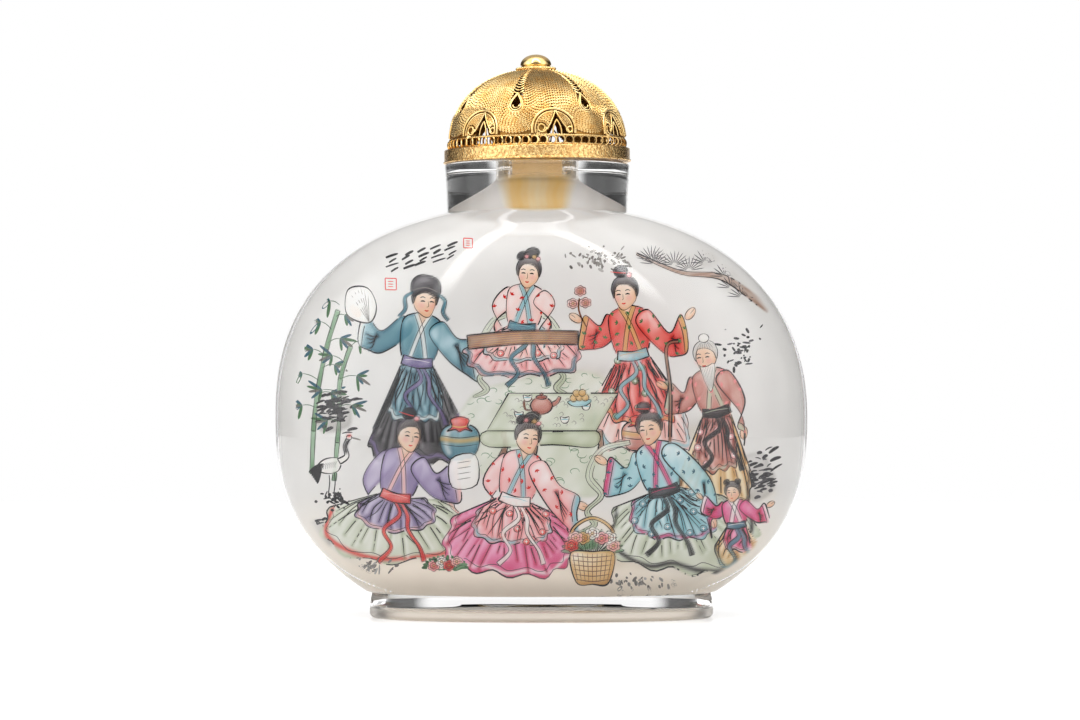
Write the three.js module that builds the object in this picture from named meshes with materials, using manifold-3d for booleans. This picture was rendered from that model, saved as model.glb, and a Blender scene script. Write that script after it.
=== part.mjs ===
// Snuff bottle: a flattened oval bottle of thick clear glass on an oval foot, hollow inside, with a round
// neck. Its stopper is a pierced gilt dome on a gilt band, with a small knob on top and a cork below.
// Millimetres, +Z up. The origin is the middle of the foot's underside; the painted front faces -Y.
import * as THREE from "three";
import { mergeVertices } from "three/addons/utils/BufferGeometryUtils.js";
import Module from "manifold-3d";

const wasm = await Module();
wasm.setup();

// Driving sizes of the bottle's outside
const BODY_HALF_WIDTH = 38;
const BODY_HALF_DEPTH = 18;
const BODY_HALF_HEIGHT = 30.4;
const BODY_CENTRE_Z = 28.4;
const FRONT_ROUNDNESS = 2.3;
const SIDE_ROUNDNESS = 3.6;
const ROUNDNESS_BLEND = 0.35;
const PLAN_ROUNDNESS = 2.15;
const FOOT_HEIGHT = 3.9;
const FOOT_HALF_WIDTH = 24.5;
const FOOT_HALF_DEPTH = 11.6;
const FOOT_EDGE_ROUND = 0.7;
const FOOT_WAIST = 0.3;
const FOOT_RIM = 2.2;
const FOOT_RECESS = 1.6;
const RECESS_ROUND = 0.7;
const NECK_FOOT_RADIUS = 12.85;
const NECK_LIP_RADIUS = 13.2;
const NECK_SHIFT_X = -0.6;
const NECK_BLEND = 0.8;
const NECK_WAIST = 0.1;
const NECK_FLARE_POWER = 1.5;
const LIP_Z = 64.65;
const LIP_ROUND = 0.3;

// Driving sizes of the hollow inside
const SIDE_WALL = 3.2;
const FRONT_WALL = 3;
const CAVITY_FLOOR_Z = 5.2;
const CAVITY_FLOOR_ROUNDNESS = 3;
const CAVITY_TOP_HALF_HEIGHT = 27.8;
const CAVITY_BLEND = 0.3;
const BORE_RADIUS = 3.9;
const BORE_END_Z = 62.6;
const FUNNEL_START_Z = 54;
const FUNNEL_WIDTH_POWER = 1.25;

// Driving sizes of the stopper
const CONTACT_GAP = 0.02;
const FIT_GAP = 0.3;
const STOPPER_LEAN_DEG = 0.8;
const BAND_RADIUS = 13.25;
const BAND_HEIGHT = 1.9;
const BAND_WALL = 1.1;
const BAND_LIP = 0.15;
const BAND_LIP_HEIGHT = 0.3;
const BAND_CHAMFER = 0.15;
const PLATE_THICKNESS = 0.6;
const CORK_RADIUS = BORE_RADIUS - FIT_GAP;
const CORK_LENGTH = 6.4;
const CORK_CHAMFER = 0.5;
const GALLERY_HEIGHT = 1.3;
const GALLERY_WALL = 0.7;
const DOME_RADIUS = 12.7;
const DOME_RISE = 11.25;
const DOME_ROUNDNESS = 2.2;
const DOME_WALL = 0.9;
const DOME_CROWN_RADIUS = 2.6;
const PETALS = 7;
const PETAL_GROOVE = 0.4;
const FIRST_SEAM_DEG = -78.8;
const TEARDROP_Z = 72.2;
const TEARDROP_WIDTH = 1.5;
const TEARDROP_HEIGHT = 2.8;
const ARCH_WIDTH = 2.8;
const ARCH_HEIGHT = 3.1;
const ARCH_SPRING = 0.25;
const ARCH_SHOULDER = 0.6;
const CUT_OVERRUN = 1;
const HOOP_RADIUS = 3.1;
const HOOP_CENTRE_Z = 68.6;
const HOOP_WIRE_RADIUS = 0.36;
const HOOP_REACH_DEG = 5;
const COLLAR_RADIUS = 2.9;
const COLLAR_STEM_RADIUS = 2.2;
const COLLAR_STEM_HEIGHT = 0.16;
const COLLAR_HEIGHT = 0.58;
const COLLAR_EDGE = 0.15;
const KNOB_RADIUS = 2.23;
const KNOB_HEIGHT = 1.87;
const KNOB_BASE_HEIGHT = 0.3;
const KNOB_BASE_INSET = 0.2;

// Facet counts
const BOTTLE_SIDES = 44;
const STOPPER_SIDES = 42;
const SMALL_SIDES = 20;
const BODY_STEPS = 16;
const NECK_STEPS = 3;
const CAVITY_STEPS = 12;
const FUNNEL_STEPS = 4;
const DOME_STEPS = 6;
const HOOP_STEPS = 8;
const HOOP_CURVE_STEPS = 3;
const WINDOW_CURVE_STEPS = 4;
const KNOB_STEPS = 6;

// Heights that follow from the sizes above
const BAND_Z = LIP_Z + CONTACT_GAP;
const GALLERY_Z = BAND_Z + BAND_HEIGHT + CONTACT_GAP;
const DOME_Z = GALLERY_Z + GALLERY_HEIGHT + CONTACT_GAP;
const CAVITY_FLOOR_HALF_HEIGHT = BODY_CENTRE_Z - CAVITY_FLOOR_Z;
const CROWN_Z = domeHeight(DOME_CROWN_RADIUS);
const COLLAR_Z = CROWN_Z + CONTACT_GAP;
const KNOB_Z = COLLAR_Z + COLLAR_HEIGHT + CONTACT_GAP;

// Half-extent of a superellipse at an offset from its middle: 1 at the middle, 0 at its end.
function superellipse(offset, exponent) {
  return Math.max(1 - Math.abs(offset) ** exponent, 0) ** (1 / exponent);
}

// The larger of two lengths, rounded off where they are alike.
function softMaximum(a, b, softness) {
  return (a + b + Math.hypot(a - b, softness)) / 2;
}

// Evenly spaced numbers from first to last, both included.
function steps(first, last, count) {
  return Array.from({ length: count + 1 }, (_, i) => first + ((last - first) * i) / count);
}

// Body outline seen from the front and from the side.
function bodyHalfWidth(z) {
  return BODY_HALF_WIDTH * superellipse((z - BODY_CENTRE_Z) / BODY_HALF_HEIGHT, FRONT_ROUNDNESS);
}

// Below its middle the body rounds in towards the foot, and above it, more squarely, towards the neck.
function bodyHalfDepth(z) {
  const rise = (z - BODY_CENTRE_Z) / BODY_HALF_HEIGHT;
  const squarer = THREE.MathUtils.smoothstep(rise, -ROUNDNESS_BLEND, ROUNDNESS_BLEND);
  const roundness = FRONT_ROUNDNESS + (SIDE_ROUNDNESS - FRONT_ROUNDNESS) * squarer;
  const bare = BODY_HALF_DEPTH * superellipse(rise, roundness);
  return rise < 0 ? bare : softMaximum(bare, NECK_FOOT_RADIUS - NECK_WAIST, NECK_BLEND * rise);
}

// Height at which the body's front outline has a given half-width, on its lower or upper side.
function heightOfHalfWidth(halfWidth, side) {
  return BODY_CENTRE_Z + side * BODY_HALF_HEIGHT * superellipse(halfWidth / BODY_HALF_WIDTH, FRONT_ROUNDNESS);
}

// Hollow outline seen from the front and from the side, below the funnel under the bore. One curve rounds in
// towards the floor, another towards the neck, and they blend just below the middle.
function cavityBlend(z, low, high) {
  const start = -CAVITY_BLEND * CAVITY_TOP_HALF_HEIGHT;
  return THREE.MathUtils.lerp(low, high, THREE.MathUtils.smoothstep(z - BODY_CENTRE_Z, start, 0));
}

function cavityFloorShare(z) {
  return superellipse((z - BODY_CENTRE_Z) / CAVITY_FLOOR_HALF_HEIGHT, CAVITY_FLOOR_ROUNDNESS);
}

function cavityHalfWidth(z) {
  const topShare = superellipse((z - BODY_CENTRE_Z) / CAVITY_TOP_HALF_HEIGHT, FRONT_ROUNDNESS);
  return (BODY_HALF_WIDTH - SIDE_WALL) * cavityBlend(z, cavityFloorShare(z), topShare);
}

function cavityHalfDepth(z) {
  const low = (BODY_HALF_DEPTH - FRONT_WALL) * cavityFloorShare(z);
  return cavityBlend(z, low, bodyHalfDepth(z) - FRONT_WALL);
}

// Height of the dome's outside at a given radius, and its radius at a given height.
function domeHeight(radius) {
  return GALLERY_Z + DOME_RISE * superellipse(radius / DOME_RADIUS, DOME_ROUNDNESS);
}

function domeRadius(z) {
  return DOME_RADIUS * superellipse((z - GALLERY_Z) / DOME_RISE, DOME_ROUNDNESS);
}

// One horizontal section: a superellipse with half-width along X and half-depth along Y. grooveDepth draws it
// in at the seams between the dome's petals.
function section(z, halfWidth, halfDepth = halfWidth, more = {}) {
  return { z, halfWidth, halfDepth, roundness: 2, shift: 0, grooveDepth: 0, ...more };
}

// A section's point at side i of sides.
function sectionPoint(s, i, sides) {
  const angle = (2 * Math.PI * (i % sides)) / sides;
  const power = 2 / s.roundness;
  const petal = Math.abs(Math.sin((PETALS * (angle - THREE.MathUtils.degToRad(FIRST_SEAM_DEG))) / 2));
  const groove = s.grooveDepth * (1 - petal);
  const reach = (half, turn) => Math.max(half - groove, 0) * Math.sign(turn) * Math.abs(turn) ** power;
  return [s.shift + reach(s.halfWidth, Math.cos(angle)), reach(s.halfDepth, Math.sin(angle)), s.z];
}

// Joins sections into one closed skin. The first and the last section have no extent, so they are poles.
function skin(sections, sides) {
  const positions = [];
  const last = sections.length - 2;
  for (let j = 0; j <= last; j++) {
    for (let i = 0; i < sides; i++) {
      const [a, b] = [i, i + 1].map((k) => sectionPoint(sections[j], k, sides));
      const [d, c] = [i, i + 1].map((k) => sectionPoint(sections[j + 1], k, sides));
      if (j > 0) positions.push(...a, ...b, ...c);
      if (j < last) positions.push(...a, ...c, ...d);
    }
  }
  return new THREE.BufferGeometry().setAttribute("position", new THREE.Float32BufferAttribute(positions, 3));
}

// A closed geometry as a solid, and a solid as a geometry.
function solidOf(geometry) {
  const bare = geometry.clone();
  bare.deleteAttribute("normal");
  bare.deleteAttribute("uv");
  const merged = mergeVertices(bare, 1e-4);
  return new wasm.Manifold(
    new wasm.Mesh({
      numProp: 3,
      vertProperties: new Float32Array(merged.attributes.position.array),
      triVerts: new Uint32Array(merged.index.array),
    }),
  );
}

function geometryOf(solid) {
  const mesh = solid.getMesh();
  return new THREE.BufferGeometry()
    .setAttribute("position", new THREE.Float32BufferAttribute(mesh.vertProperties, 3))
    .setIndex(new THREE.Uint32BufferAttribute(mesh.triVerts, 1));
}

// Underside: a recess inside the foot's rim.
function recessSections() {
  const recess = (z, inset) =>
    section(z, FOOT_HALF_WIDTH - FOOT_RIM - inset, FOOT_HALF_DEPTH - FOOT_RIM - inset, {
      roundness: PLAN_ROUNDNESS,
    });
  return [
    section(FOOT_RECESS, 0),
    recess(FOOT_RECESS, RECESS_ROUND),
    recess(FOOT_RECESS - RECESS_ROUND, 0),
    recess(0, 0),
  ];
}

// Foot: an oval wall with rounded edges and a slight waist where it meets the body.
function footSections() {
  const foot = (z, inset) =>
    section(z, FOOT_HALF_WIDTH - inset, FOOT_HALF_DEPTH - inset, { roundness: PLAN_ROUNDNESS });
  const halfway = FOOT_EDGE_ROUND * (1 - Math.SQRT1_2);
  return [
    foot(0, FOOT_EDGE_ROUND),
    foot(halfway, halfway),
    foot(FOOT_EDGE_ROUND, 0),
    foot(FOOT_HEIGHT / 2, 0),
    foot(FOOT_HEIGHT - 2 * FOOT_WAIST, FOOT_WAIST),
  ];
}

// Body from the foot up to the neck, in sections packed closer where the outline turns in.
function bodySections() {
  const lowest = heightOfHalfWidth(FOOT_HALF_WIDTH, -1) + FOOT_WAIST;
  const highest = heightOfHalfWidth(NECK_FOOT_RADIUS, 1);
  const turnOf = (z) => Math.asin((z - BODY_CENTRE_Z) / BODY_HALF_HEIGHT);
  return steps(turnOf(lowest), turnOf(highest), BODY_STEPS).map((turn) => {
    const z = BODY_CENTRE_Z + BODY_HALF_HEIGHT * Math.sin(turn);
    const rise = THREE.MathUtils.smoothstep(z, BODY_CENTRE_Z, highest);
    return section(z, bodyHalfWidth(z), bodyHalfDepth(z), {
      roundness: PLAN_ROUNDNESS + (2 - PLAN_ROUNDNESS) * rise,
      shift: NECK_SHIFT_X * rise,
    });
  });
}

// Neck: a slightly waisted round collar of solid glass with a flat lip.
function neckSections() {
  const foot = heightOfHalfWidth(NECK_FOOT_RADIUS, 1);
  const neck = (z, radius) => section(z, radius, radius, { shift: NECK_SHIFT_X });
  const flare = NECK_LIP_RADIUS - NECK_FOOT_RADIUS;
  return [
    neck(foot + NECK_BLEND, NECK_FOOT_RADIUS - NECK_WAIST),
    ...steps(foot + 2 * NECK_BLEND, LIP_Z - LIP_ROUND, NECK_STEPS).map((z) =>
      neck(z, NECK_FOOT_RADIUS + flare * ((z - foot) / (LIP_Z - foot)) ** NECK_FLARE_POWER),
    ),
    neck(LIP_Z, NECK_LIP_RADIUS - LIP_ROUND),
  ];
}

// Hollow: a straight bore, a funnel below it and the main space, down to its floor.
function hollowSections() {
  const bore = [LIP_Z, BORE_END_Z].map((z) =>
    section(z, BORE_RADIUS, BORE_RADIUS, { shift: NECK_SHIFT_X }),
  );
  const width = cavityHalfWidth(FUNNEL_START_Z) - BORE_RADIUS;
  const depth = cavityHalfDepth(FUNNEL_START_Z) - BORE_RADIUS;
  const funnel = steps(0, 1, FUNNEL_STEPS).slice(1, -1).map((drop) =>
    section(
      BORE_END_Z + (FUNNEL_START_Z - BORE_END_Z) * drop,
      BORE_RADIUS + width * drop ** FUNNEL_WIDTH_POWER,
      BORE_RADIUS + depth * drop,
      { shift: NECK_SHIFT_X * (1 - drop) },
    ),
  );
  const start = Math.asin((FUNNEL_START_Z - BODY_CENTRE_Z) / CAVITY_TOP_HALF_HEIGHT);
  const space = steps(start, -Math.PI / 2, CAVITY_STEPS).slice(0, -1).map((turn) => {
    const halfHeight = turn < 0 ? CAVITY_FLOOR_HALF_HEIGHT : CAVITY_TOP_HALF_HEIGHT;
    const z = BODY_CENTRE_Z + halfHeight * Math.sin(turn);
    return section(z, cavityHalfWidth(z), cavityHalfDepth(z), { roundness: PLAN_ROUNDNESS });
  });
  return [...bore, ...funnel, ...space, section(CAVITY_FLOOR_Z, 0)];
}

function bottleGeometry() {
  const outside = [...recessSections(), ...footSections(), ...bodySections(), ...neckSections()];
  return skin([...outside, ...hollowSections()], BOTTLE_SIDES);
}

// A turned piece: [radius, height] pairs from the axis back to the axis, anticlockwise, round +Z.
function turned(profile, sides, baseZ) {
  const lathe = new THREE.LatheGeometry(profile.map(([radius, z]) => new THREE.Vector2(radius, z)), sides);
  return lathe.rotateX(Math.PI / 2).translate(0, 0, baseZ);
}

function bandGeometry() {
  const inner = BAND_RADIUS - BAND_WALL;
  const profile = [
    [inner, 0],
    [BAND_RADIUS + BAND_LIP, 0],
    [BAND_RADIUS + BAND_LIP, BAND_LIP_HEIGHT],
    [BAND_RADIUS, BAND_LIP_HEIGHT + BAND_LIP],
    [BAND_RADIUS, BAND_HEIGHT - BAND_CHAMFER],
    [BAND_RADIUS - BAND_CHAMFER, BAND_HEIGHT],
    [inner, BAND_HEIGHT],
    [inner, 0],
  ];
  return turned(profile, STOPPER_SIDES, BAND_Z);
}

function galleryGeometry() {
  const [inner, outer] = [DOME_RADIUS - GALLERY_WALL, DOME_RADIUS];
  const profile = [
    [inner, 0],
    [outer, 0],
    [domeRadius(DOME_Z), GALLERY_HEIGHT],
    [domeRadius(DOME_Z) - GALLERY_WALL, GALLERY_HEIGHT],
    [inner, 0],
  ];
  return turned(profile, STOPPER_SIDES, GALLERY_Z);
}

function plateGeometry() {
  const radius = BAND_RADIUS - BAND_WALL - CONTACT_GAP;
  const profile = [
    [0, 0],
    [radius, 0],
    [radius, PLATE_THICKNESS],
    [0, PLATE_THICKNESS],
  ];
  return turned(profile, STOPPER_SIDES, BAND_Z);
}

function corkGeometry() {
  const profile = [
    [0, 0],
    [CORK_RADIUS - CORK_CHAMFER, 0],
    [CORK_RADIUS, CORK_CHAMFER],
    [CORK_RADIUS, CORK_LENGTH],
    [0, CORK_LENGTH],
  ];
  return turned(profile, SMALL_SIDES, BAND_Z - CONTACT_GAP - CORK_LENGTH);
}

// Frame of a point on the dome's outside: X along the tangent, Y up, Z outwards.
function facingOut(angle) {
  const tangent = new THREE.Vector3(-Math.sin(angle), Math.cos(angle), 0);
  const outward = new THREE.Vector3(Math.cos(angle), Math.sin(angle), 0);
  return new THREE.Matrix4().makeBasis(tangent, new THREE.Vector3(0, 0, 1), outward);
}

// Window cutters, drawn upright and pushed outwards through the dome's wall.
function windowCutter(shape, angle) {
  const start = DOME_RADIUS / 2;
  const cutter = new THREE.ExtrudeGeometry(shape, {
    depth: DOME_RADIUS + CUT_OVERRUN - start,
    bevelEnabled: false,
    curveSegments: WINDOW_CURVE_STEPS,
  });
  return solidOf(cutter.translate(0, 0, start).applyMatrix4(facingOut(angle)));
}

function teardropShape() {
  const half = TEARDROP_WIDTH / 2;
  const shape = new THREE.Shape();
  shape.moveTo(0, TEARDROP_Z + TEARDROP_HEIGHT - half);
  shape.lineTo(-half, TEARDROP_Z);
  shape.absarc(0, TEARDROP_Z, half, Math.PI, 2 * Math.PI);
  shape.closePath();
  return shape;
}

function archShape() {
  const half = ARCH_WIDTH / 2;
  const spring = DOME_Z + ARCH_HEIGHT * ARCH_SPRING;
  const shoulder = DOME_Z + ARCH_HEIGHT * ARCH_SHOULDER;
  const shape = new THREE.Shape();
  shape.moveTo(-half, DOME_Z - CUT_OVERRUN);
  shape.lineTo(half, DOME_Z - CUT_OVERRUN);
  shape.lineTo(half, spring);
  shape.quadraticCurveTo(half * ARCH_SHOULDER, shoulder, 0, DOME_Z + ARCH_HEIGHT);
  shape.quadraticCurveTo(-half * ARCH_SHOULDER, shoulder, -half, spring);
  shape.closePath();
  return shape;
}

// Hoop: a round wire bent over each arched window, half sunk in the dome.
function hoopSolid(angle) {
  const reach = THREE.MathUtils.degToRad(HOOP_REACH_DEG);
  const points = steps(-reach, Math.PI + reach, HOOP_STEPS).map((turn) => {
    const z = HOOP_CENTRE_Z + HOOP_RADIUS * Math.sin(turn);
    const radius = domeRadius(z);
    const around = angle + (HOOP_RADIUS * Math.cos(turn)) / radius;
    return new THREE.Vector3(radius * Math.cos(around), radius * Math.sin(around), z);
  });
  const wire = new THREE.Shape();
  wire.absarc(0, 0, HOOP_WIRE_RADIUS, 0, 2 * Math.PI);
  return solidOf(
    new THREE.ExtrudeGeometry(wire, {
      extrudePath: new THREE.CatmullRomCurve3(points),
      steps: HOOP_STEPS,
      curveSegments: HOOP_CURVE_STEPS,
    }),
  );
}

function domeGeometry() {
  const groove = (z) => PETAL_GROOVE * superellipse((z - GALLERY_Z) / DOME_RISE, 2);
  const outside = steps(0, Math.PI / 2, DOME_STEPS).map((turn) => {
    const z = DOME_Z + (CROWN_Z - DOME_Z) * Math.sin(turn);
    return section(z, domeRadius(z), domeRadius(z), { grooveDepth: groove(z) });
  });
  const inside = outside.map((s) =>
    section(Math.min(s.z, CROWN_Z - DOME_WALL), s.halfWidth - DOME_WALL, s.halfWidth - DOME_WALL),
  );
  const shell = [section(CROWN_Z - DOME_WALL, 0), ...inside.reverse(), ...outside, section(CROWN_Z, 0)];
  let dome = solidOf(skin(shell, STOPPER_SIDES));
  for (let k = 0; k < PETALS; k++) {
    const seam = THREE.MathUtils.degToRad(FIRST_SEAM_DEG) + (2 * Math.PI * k) / PETALS;
    const middle = seam + Math.PI / PETALS;
    dome = dome
      .add(hoopSolid(seam))
      .subtract(windowCutter(archShape(), seam))
      .subtract(windowCutter(teardropShape(), middle));
  }
  return geometryOf(dome);
}

// Collar: a thin disc on a short stem.
function collarGeometry() {
  const profile = [
    [0, 0],
    [COLLAR_STEM_RADIUS, 0],
    [COLLAR_STEM_RADIUS, COLLAR_STEM_HEIGHT],
    [COLLAR_RADIUS - COLLAR_EDGE, COLLAR_STEM_HEIGHT],
    [COLLAR_RADIUS, (COLLAR_STEM_HEIGHT + COLLAR_HEIGHT) / 2],
    [COLLAR_RADIUS - COLLAR_EDGE, COLLAR_HEIGHT],
    [0, COLLAR_HEIGHT],
  ];
  return turned(profile, SMALL_SIDES, COLLAR_Z);
}

// Knob: half of a flattened bead on a short, slightly narrower base.
function knobGeometry() {
  const bead = steps(0, Math.PI / 2, KNOB_STEPS).map((turn) => [
    KNOB_RADIUS * Math.cos(turn),
    KNOB_BASE_HEIGHT + (KNOB_HEIGHT - KNOB_BASE_HEIGHT) * Math.sin(turn),
  ]);
  const profile = [[0, 0], [KNOB_RADIUS - KNOB_BASE_INSET, 0], ...bead.slice(0, -1), [0, KNOB_HEIGHT]];
  return turned(profile, SMALL_SIDES, KNOB_Z);
}

const glass = new THREE.MeshStandardMaterial({ color: 0xeceae6, roughness: 0.05, metalness: 0 });
const gilt = new THREE.MeshStandardMaterial({ color: 0xd9a441, roughness: 0.3, metalness: 1 });
const cork = new THREE.MeshStandardMaterial({ color: 0xd79a55, roughness: 0.85, metalness: 0 });

function piece(name, geometry, material) {
  const mesh = new THREE.Mesh(geometry, material);
  mesh.name = name;
  return mesh;
}

const snuffBottle = new THREE.Group();
snuffBottle.add(piece("bottle", bottleGeometry(), glass));

// The stopper sits a little askew: it leans towards -X, on that edge of the lip.
const lipEdge = new THREE.Vector3(LIP_ROUND - NECK_LIP_RADIUS, 0, LIP_Z);
const leaning = new THREE.Group();
leaning.position.copy(lipEdge).setX(lipEdge.x + NECK_SHIFT_X);
leaning.rotation.y = -THREE.MathUtils.degToRad(STOPPER_LEAN_DEG);

const stopper = new THREE.Group();
stopper.position.copy(lipEdge).negate();
stopper.add(
  piece("stopper_cork", corkGeometry(), cork),
  piece("stopper_plate", plateGeometry(), gilt),
  piece("stopper_band", bandGeometry(), gilt),
  piece("stopper_gallery", galleryGeometry(), gilt),
  piece("stopper_dome", domeGeometry(), gilt),
  piece("stopper_collar", collarGeometry(), gilt),
  piece("stopper_knob", knobGeometry(), gilt),
);
leaning.add(stopper);
snuffBottle.add(leaning);

export default snuffBottle;
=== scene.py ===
"""Snuff bottle: clear glass painted on its inner wall, with a gilt filigree stopper.

Shapes are worked out in millimetres, as the solids are: +Z up, the origin in the middle of the foot's
underside, the painted front towards -Y. Meshes are stored in metres.
"""

import logging
import math
from collections.abc import Callable
from dataclasses import dataclass
from enum import Enum

import bpy
import numpy as np
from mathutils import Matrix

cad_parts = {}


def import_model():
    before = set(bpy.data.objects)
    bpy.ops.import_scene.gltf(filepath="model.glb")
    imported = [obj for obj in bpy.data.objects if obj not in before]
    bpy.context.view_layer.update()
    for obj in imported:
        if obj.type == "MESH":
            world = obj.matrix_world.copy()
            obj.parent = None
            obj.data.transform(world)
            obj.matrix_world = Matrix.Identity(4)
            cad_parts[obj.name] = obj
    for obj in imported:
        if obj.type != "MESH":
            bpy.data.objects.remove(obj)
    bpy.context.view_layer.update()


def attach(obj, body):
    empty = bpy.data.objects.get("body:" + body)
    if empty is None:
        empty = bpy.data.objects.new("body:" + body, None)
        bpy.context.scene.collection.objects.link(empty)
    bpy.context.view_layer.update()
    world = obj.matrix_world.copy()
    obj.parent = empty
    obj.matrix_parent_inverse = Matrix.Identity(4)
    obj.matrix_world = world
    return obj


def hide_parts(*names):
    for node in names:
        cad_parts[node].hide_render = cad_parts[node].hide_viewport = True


LOG = logging.getLogger("snuff_bottle")
MM = 0.001
BODY = "root"
FULL_TURN = 2 * math.pi
# name of the point attribute that holds the painted light and shade of the gilt wires
PAINTED_LIGHT = "painted_light"
Colour = tuple[float, float, float]
Direction = tuple[float, float, float]


# Shape helpers


def superellipse(offset: np.ndarray, exponent: float) -> np.ndarray:
    """Half-extent of a superellipse: (1 - |offset|^n)^(1/n), which is 1 at its middle and 0 at its end."""
    return np.maximum(1 - np.abs(offset) ** exponent, 0) ** (1 / exponent)


def soft_maximum(a: np.ndarray, b: np.ndarray, softness: np.ndarray) -> np.ndarray:
    """The larger of two lengths, rounded off where they are alike: (a + b + sqrt((a - b)^2 + s^2)) / 2."""
    return (a + b + np.hypot(a - b, softness)) / 2


def smooth_step(value: np.ndarray, low: float, high: float) -> np.ndarray:
    """A cubic ramp from 0 at low to 1 at high: 3t^2 - 2t^3."""
    t = np.clip((value - low) / (high - low), 0, 1)
    return t * t * (3 - 2 * t)


def joint_faces(rings: int, sides: int) -> np.ndarray:
    """Quads that join the last ring of a grid to its first, where a tube runs in a closed loop."""
    first = np.arange(sides)
    last = (rings - 1) * sides + first
    return np.stack([last, np.roll(last, -1), np.roll(first, -1), first], -1)


def grid_faces(rows: int, columns: int, wrap: bool) -> np.ndarray:
    """Quads between the neighbouring points of a grid stored row by row.

    Args:
        rows: number of rows.
        columns: number of points in a row.
        wrap: whether the last column joins the first.

    Returns:
        An array of four point numbers for each quad.
    """
    row = np.arange(rows - 1)[:, None] * columns
    left = np.arange(columns if wrap else columns - 1)[None, :]
    right = (left + 1) % columns
    return np.stack([row + left, row + right, row + columns + right, row + columns + left], -1).reshape(-1, 4)


def unit(vectors: np.ndarray) -> np.ndarray:
    """The vectors at length 1."""
    return vectors / np.maximum(np.linalg.norm(vectors, axis=-1, keepdims=True), 1e-9)


class Shape:
    """Points in millimetres with their faces, gathered from many parts into one mesh."""

    def __init__(self, place: Callable[[np.ndarray], np.ndarray] | None = None) -> None:
        """Starts empty.

        Args:
            place: moves all the points to where they belong, when the piece is made.
        """
        self.place = place
        self.points: list[np.ndarray] = []
        self.faces: list[np.ndarray] = []
        self.painted_light: list[np.ndarray] = []
        self.count = 0

    def add(self, points: np.ndarray, *faces: np.ndarray, painted_light: np.ndarray | float = 1.0) -> None:
        """Adds a part.

        Args:
            points: its points, in any grid whose last axis is X, Y, Z.
            faces: arrays of point numbers, one row for each face, counted within this part.
            painted_light: 1 where a point is painted fully lit, falling to 0 in painted shade.
        """
        flat = points.reshape(-1, 3)
        self.points.append(flat)
        self.painted_light.append(np.ravel(painted_light) + np.zeros(len(flat)))
        self.faces.extend(group + self.count for group in faces)
        self.count += len(flat)

    def piece(self, name: str, material: bpy.types.Material, sharp_deg: float = 180) -> bpy.types.Object:
        """Makes the mesh object, smooth but for edges that bend more than an angle.

        Args:
            name: the piece's name.
            material: its finish.
            sharp_deg: edges that bend by more degrees than this stay sharp.

        Returns:
            The new object, at the origin.
        """
        mesh = bpy.data.meshes.new(name)
        points = np.concatenate(self.points)
        points = (self.place(points) if self.place else points) * MM
        corners = np.concatenate([group.ravel() for group in self.faces])
        sizes = np.concatenate([np.full(len(group), group.shape[1]) for group in self.faces])
        mesh.vertices.add(len(points))
        mesh.vertices.foreach_set("co", points.astype(np.float32).ravel())
        mesh.loops.add(len(corners))
        mesh.loops.foreach_set("vertex_index", corners.astype(np.int32))
        mesh.polygons.add(len(sizes))
        mesh.polygons.foreach_set("loop_start", (np.cumsum(sizes) - sizes).astype(np.int32))
        mesh.update(calc_edges=True)
        mesh.validate()
        mesh.shade_smooth()
        if sharp_deg < 180:
            mesh.set_sharp_from_angle(angle=math.radians(sharp_deg))
        mesh.materials.append(material)
        # painted light and shade of the wires, stored only where some point is painted darker
        painted_light = np.concatenate(self.painted_light)
        if painted_light.min() < 1:
            mesh.attributes.new(PAINTED_LIGHT, "FLOAT", "POINT").data.foreach_set("value", painted_light.astype(np.float32))
        made = bpy.data.objects.new(name, mesh)
        bpy.context.scene.collection.objects.link(made)
        return made


@dataclass(frozen=True)
class Wire:
    """A round wire, or a pair of strands twisted together, swept along a path."""

    radius: float
    sides: int = 6
    twist_pitch: float = 0
    flattening: float = 0.3

    def sweep(self, shape: Shape, path: np.ndarray, up: np.ndarray, closed: bool = False) -> None:
        """Adds the wire to a shape.

        Each ring is centre + r * (cos(a) * side + sin(a) * up). On a twisted wire
        r = radius * (1 + flattening * cos(2a - turn)), where turn grows by a full turn in each pitch,
        so the ring is an oval that turns along the wire as two strands do. The painted light is 1 on top of
        the strands, a painted highlight, and falls as painted shade between them and towards the surface
        under the wire.

        Args:
            shape: what the wire is added to.
            path: its centre line, one point in each row.
            up: the outward direction at each point.
            closed: whether the last point joins the first.
        """
        ahead = np.roll(path, -1, 0) - np.roll(path, 1, 0) if closed else np.gradient(path, axis=0)
        side = unit(np.cross(unit(ahead), up))
        lift = unit(np.cross(side, unit(ahead)))
        steps = np.linalg.norm(np.diff(path, axis=0), axis=1)
        along = np.concatenate([[0.0], np.cumsum(steps)])[:, None]
        angle = math.pi / 2 + np.arange(self.sides)[None, :] * FULL_TURN / self.sides
        if self.twist_pitch:
            strands = np.cos(2 * angle - along / self.twist_pitch * FULL_TURN)
        else:
            strands = 1 + 0 * along * angle
        reach = (self.radius * (1 + self.flattening * strands * (self.twist_pitch > 0)))[..., None]
        # painted highlight on top of each strand, painted shade between the strands and under the wire
        painted_light = np.clip(np.sin(angle) * 0.9 + 0.5, 0, 1) * np.clip(0.72 + 0.5 * strands, 0, 1)
        ring = np.cos(angle)[..., None] * side[:, None] + np.sin(angle)[..., None] * lift[:, None]
        points = path[:, None] + reach * ring
        quads = grid_faces(len(path), self.sides, wrap=True)
        if closed:
            joint = joint_faces(len(path), self.sides)
            shape.add(points, np.concatenate([quads, joint])[:, ::-1], painted_light=painted_light)
            return
        ends = np.stack([np.arange(self.sides), (len(path) - 1) * self.sides + np.arange(self.sides)[::-1]])
        shape.add(points, quads[:, ::-1], ends, painted_light=painted_light)


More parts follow.
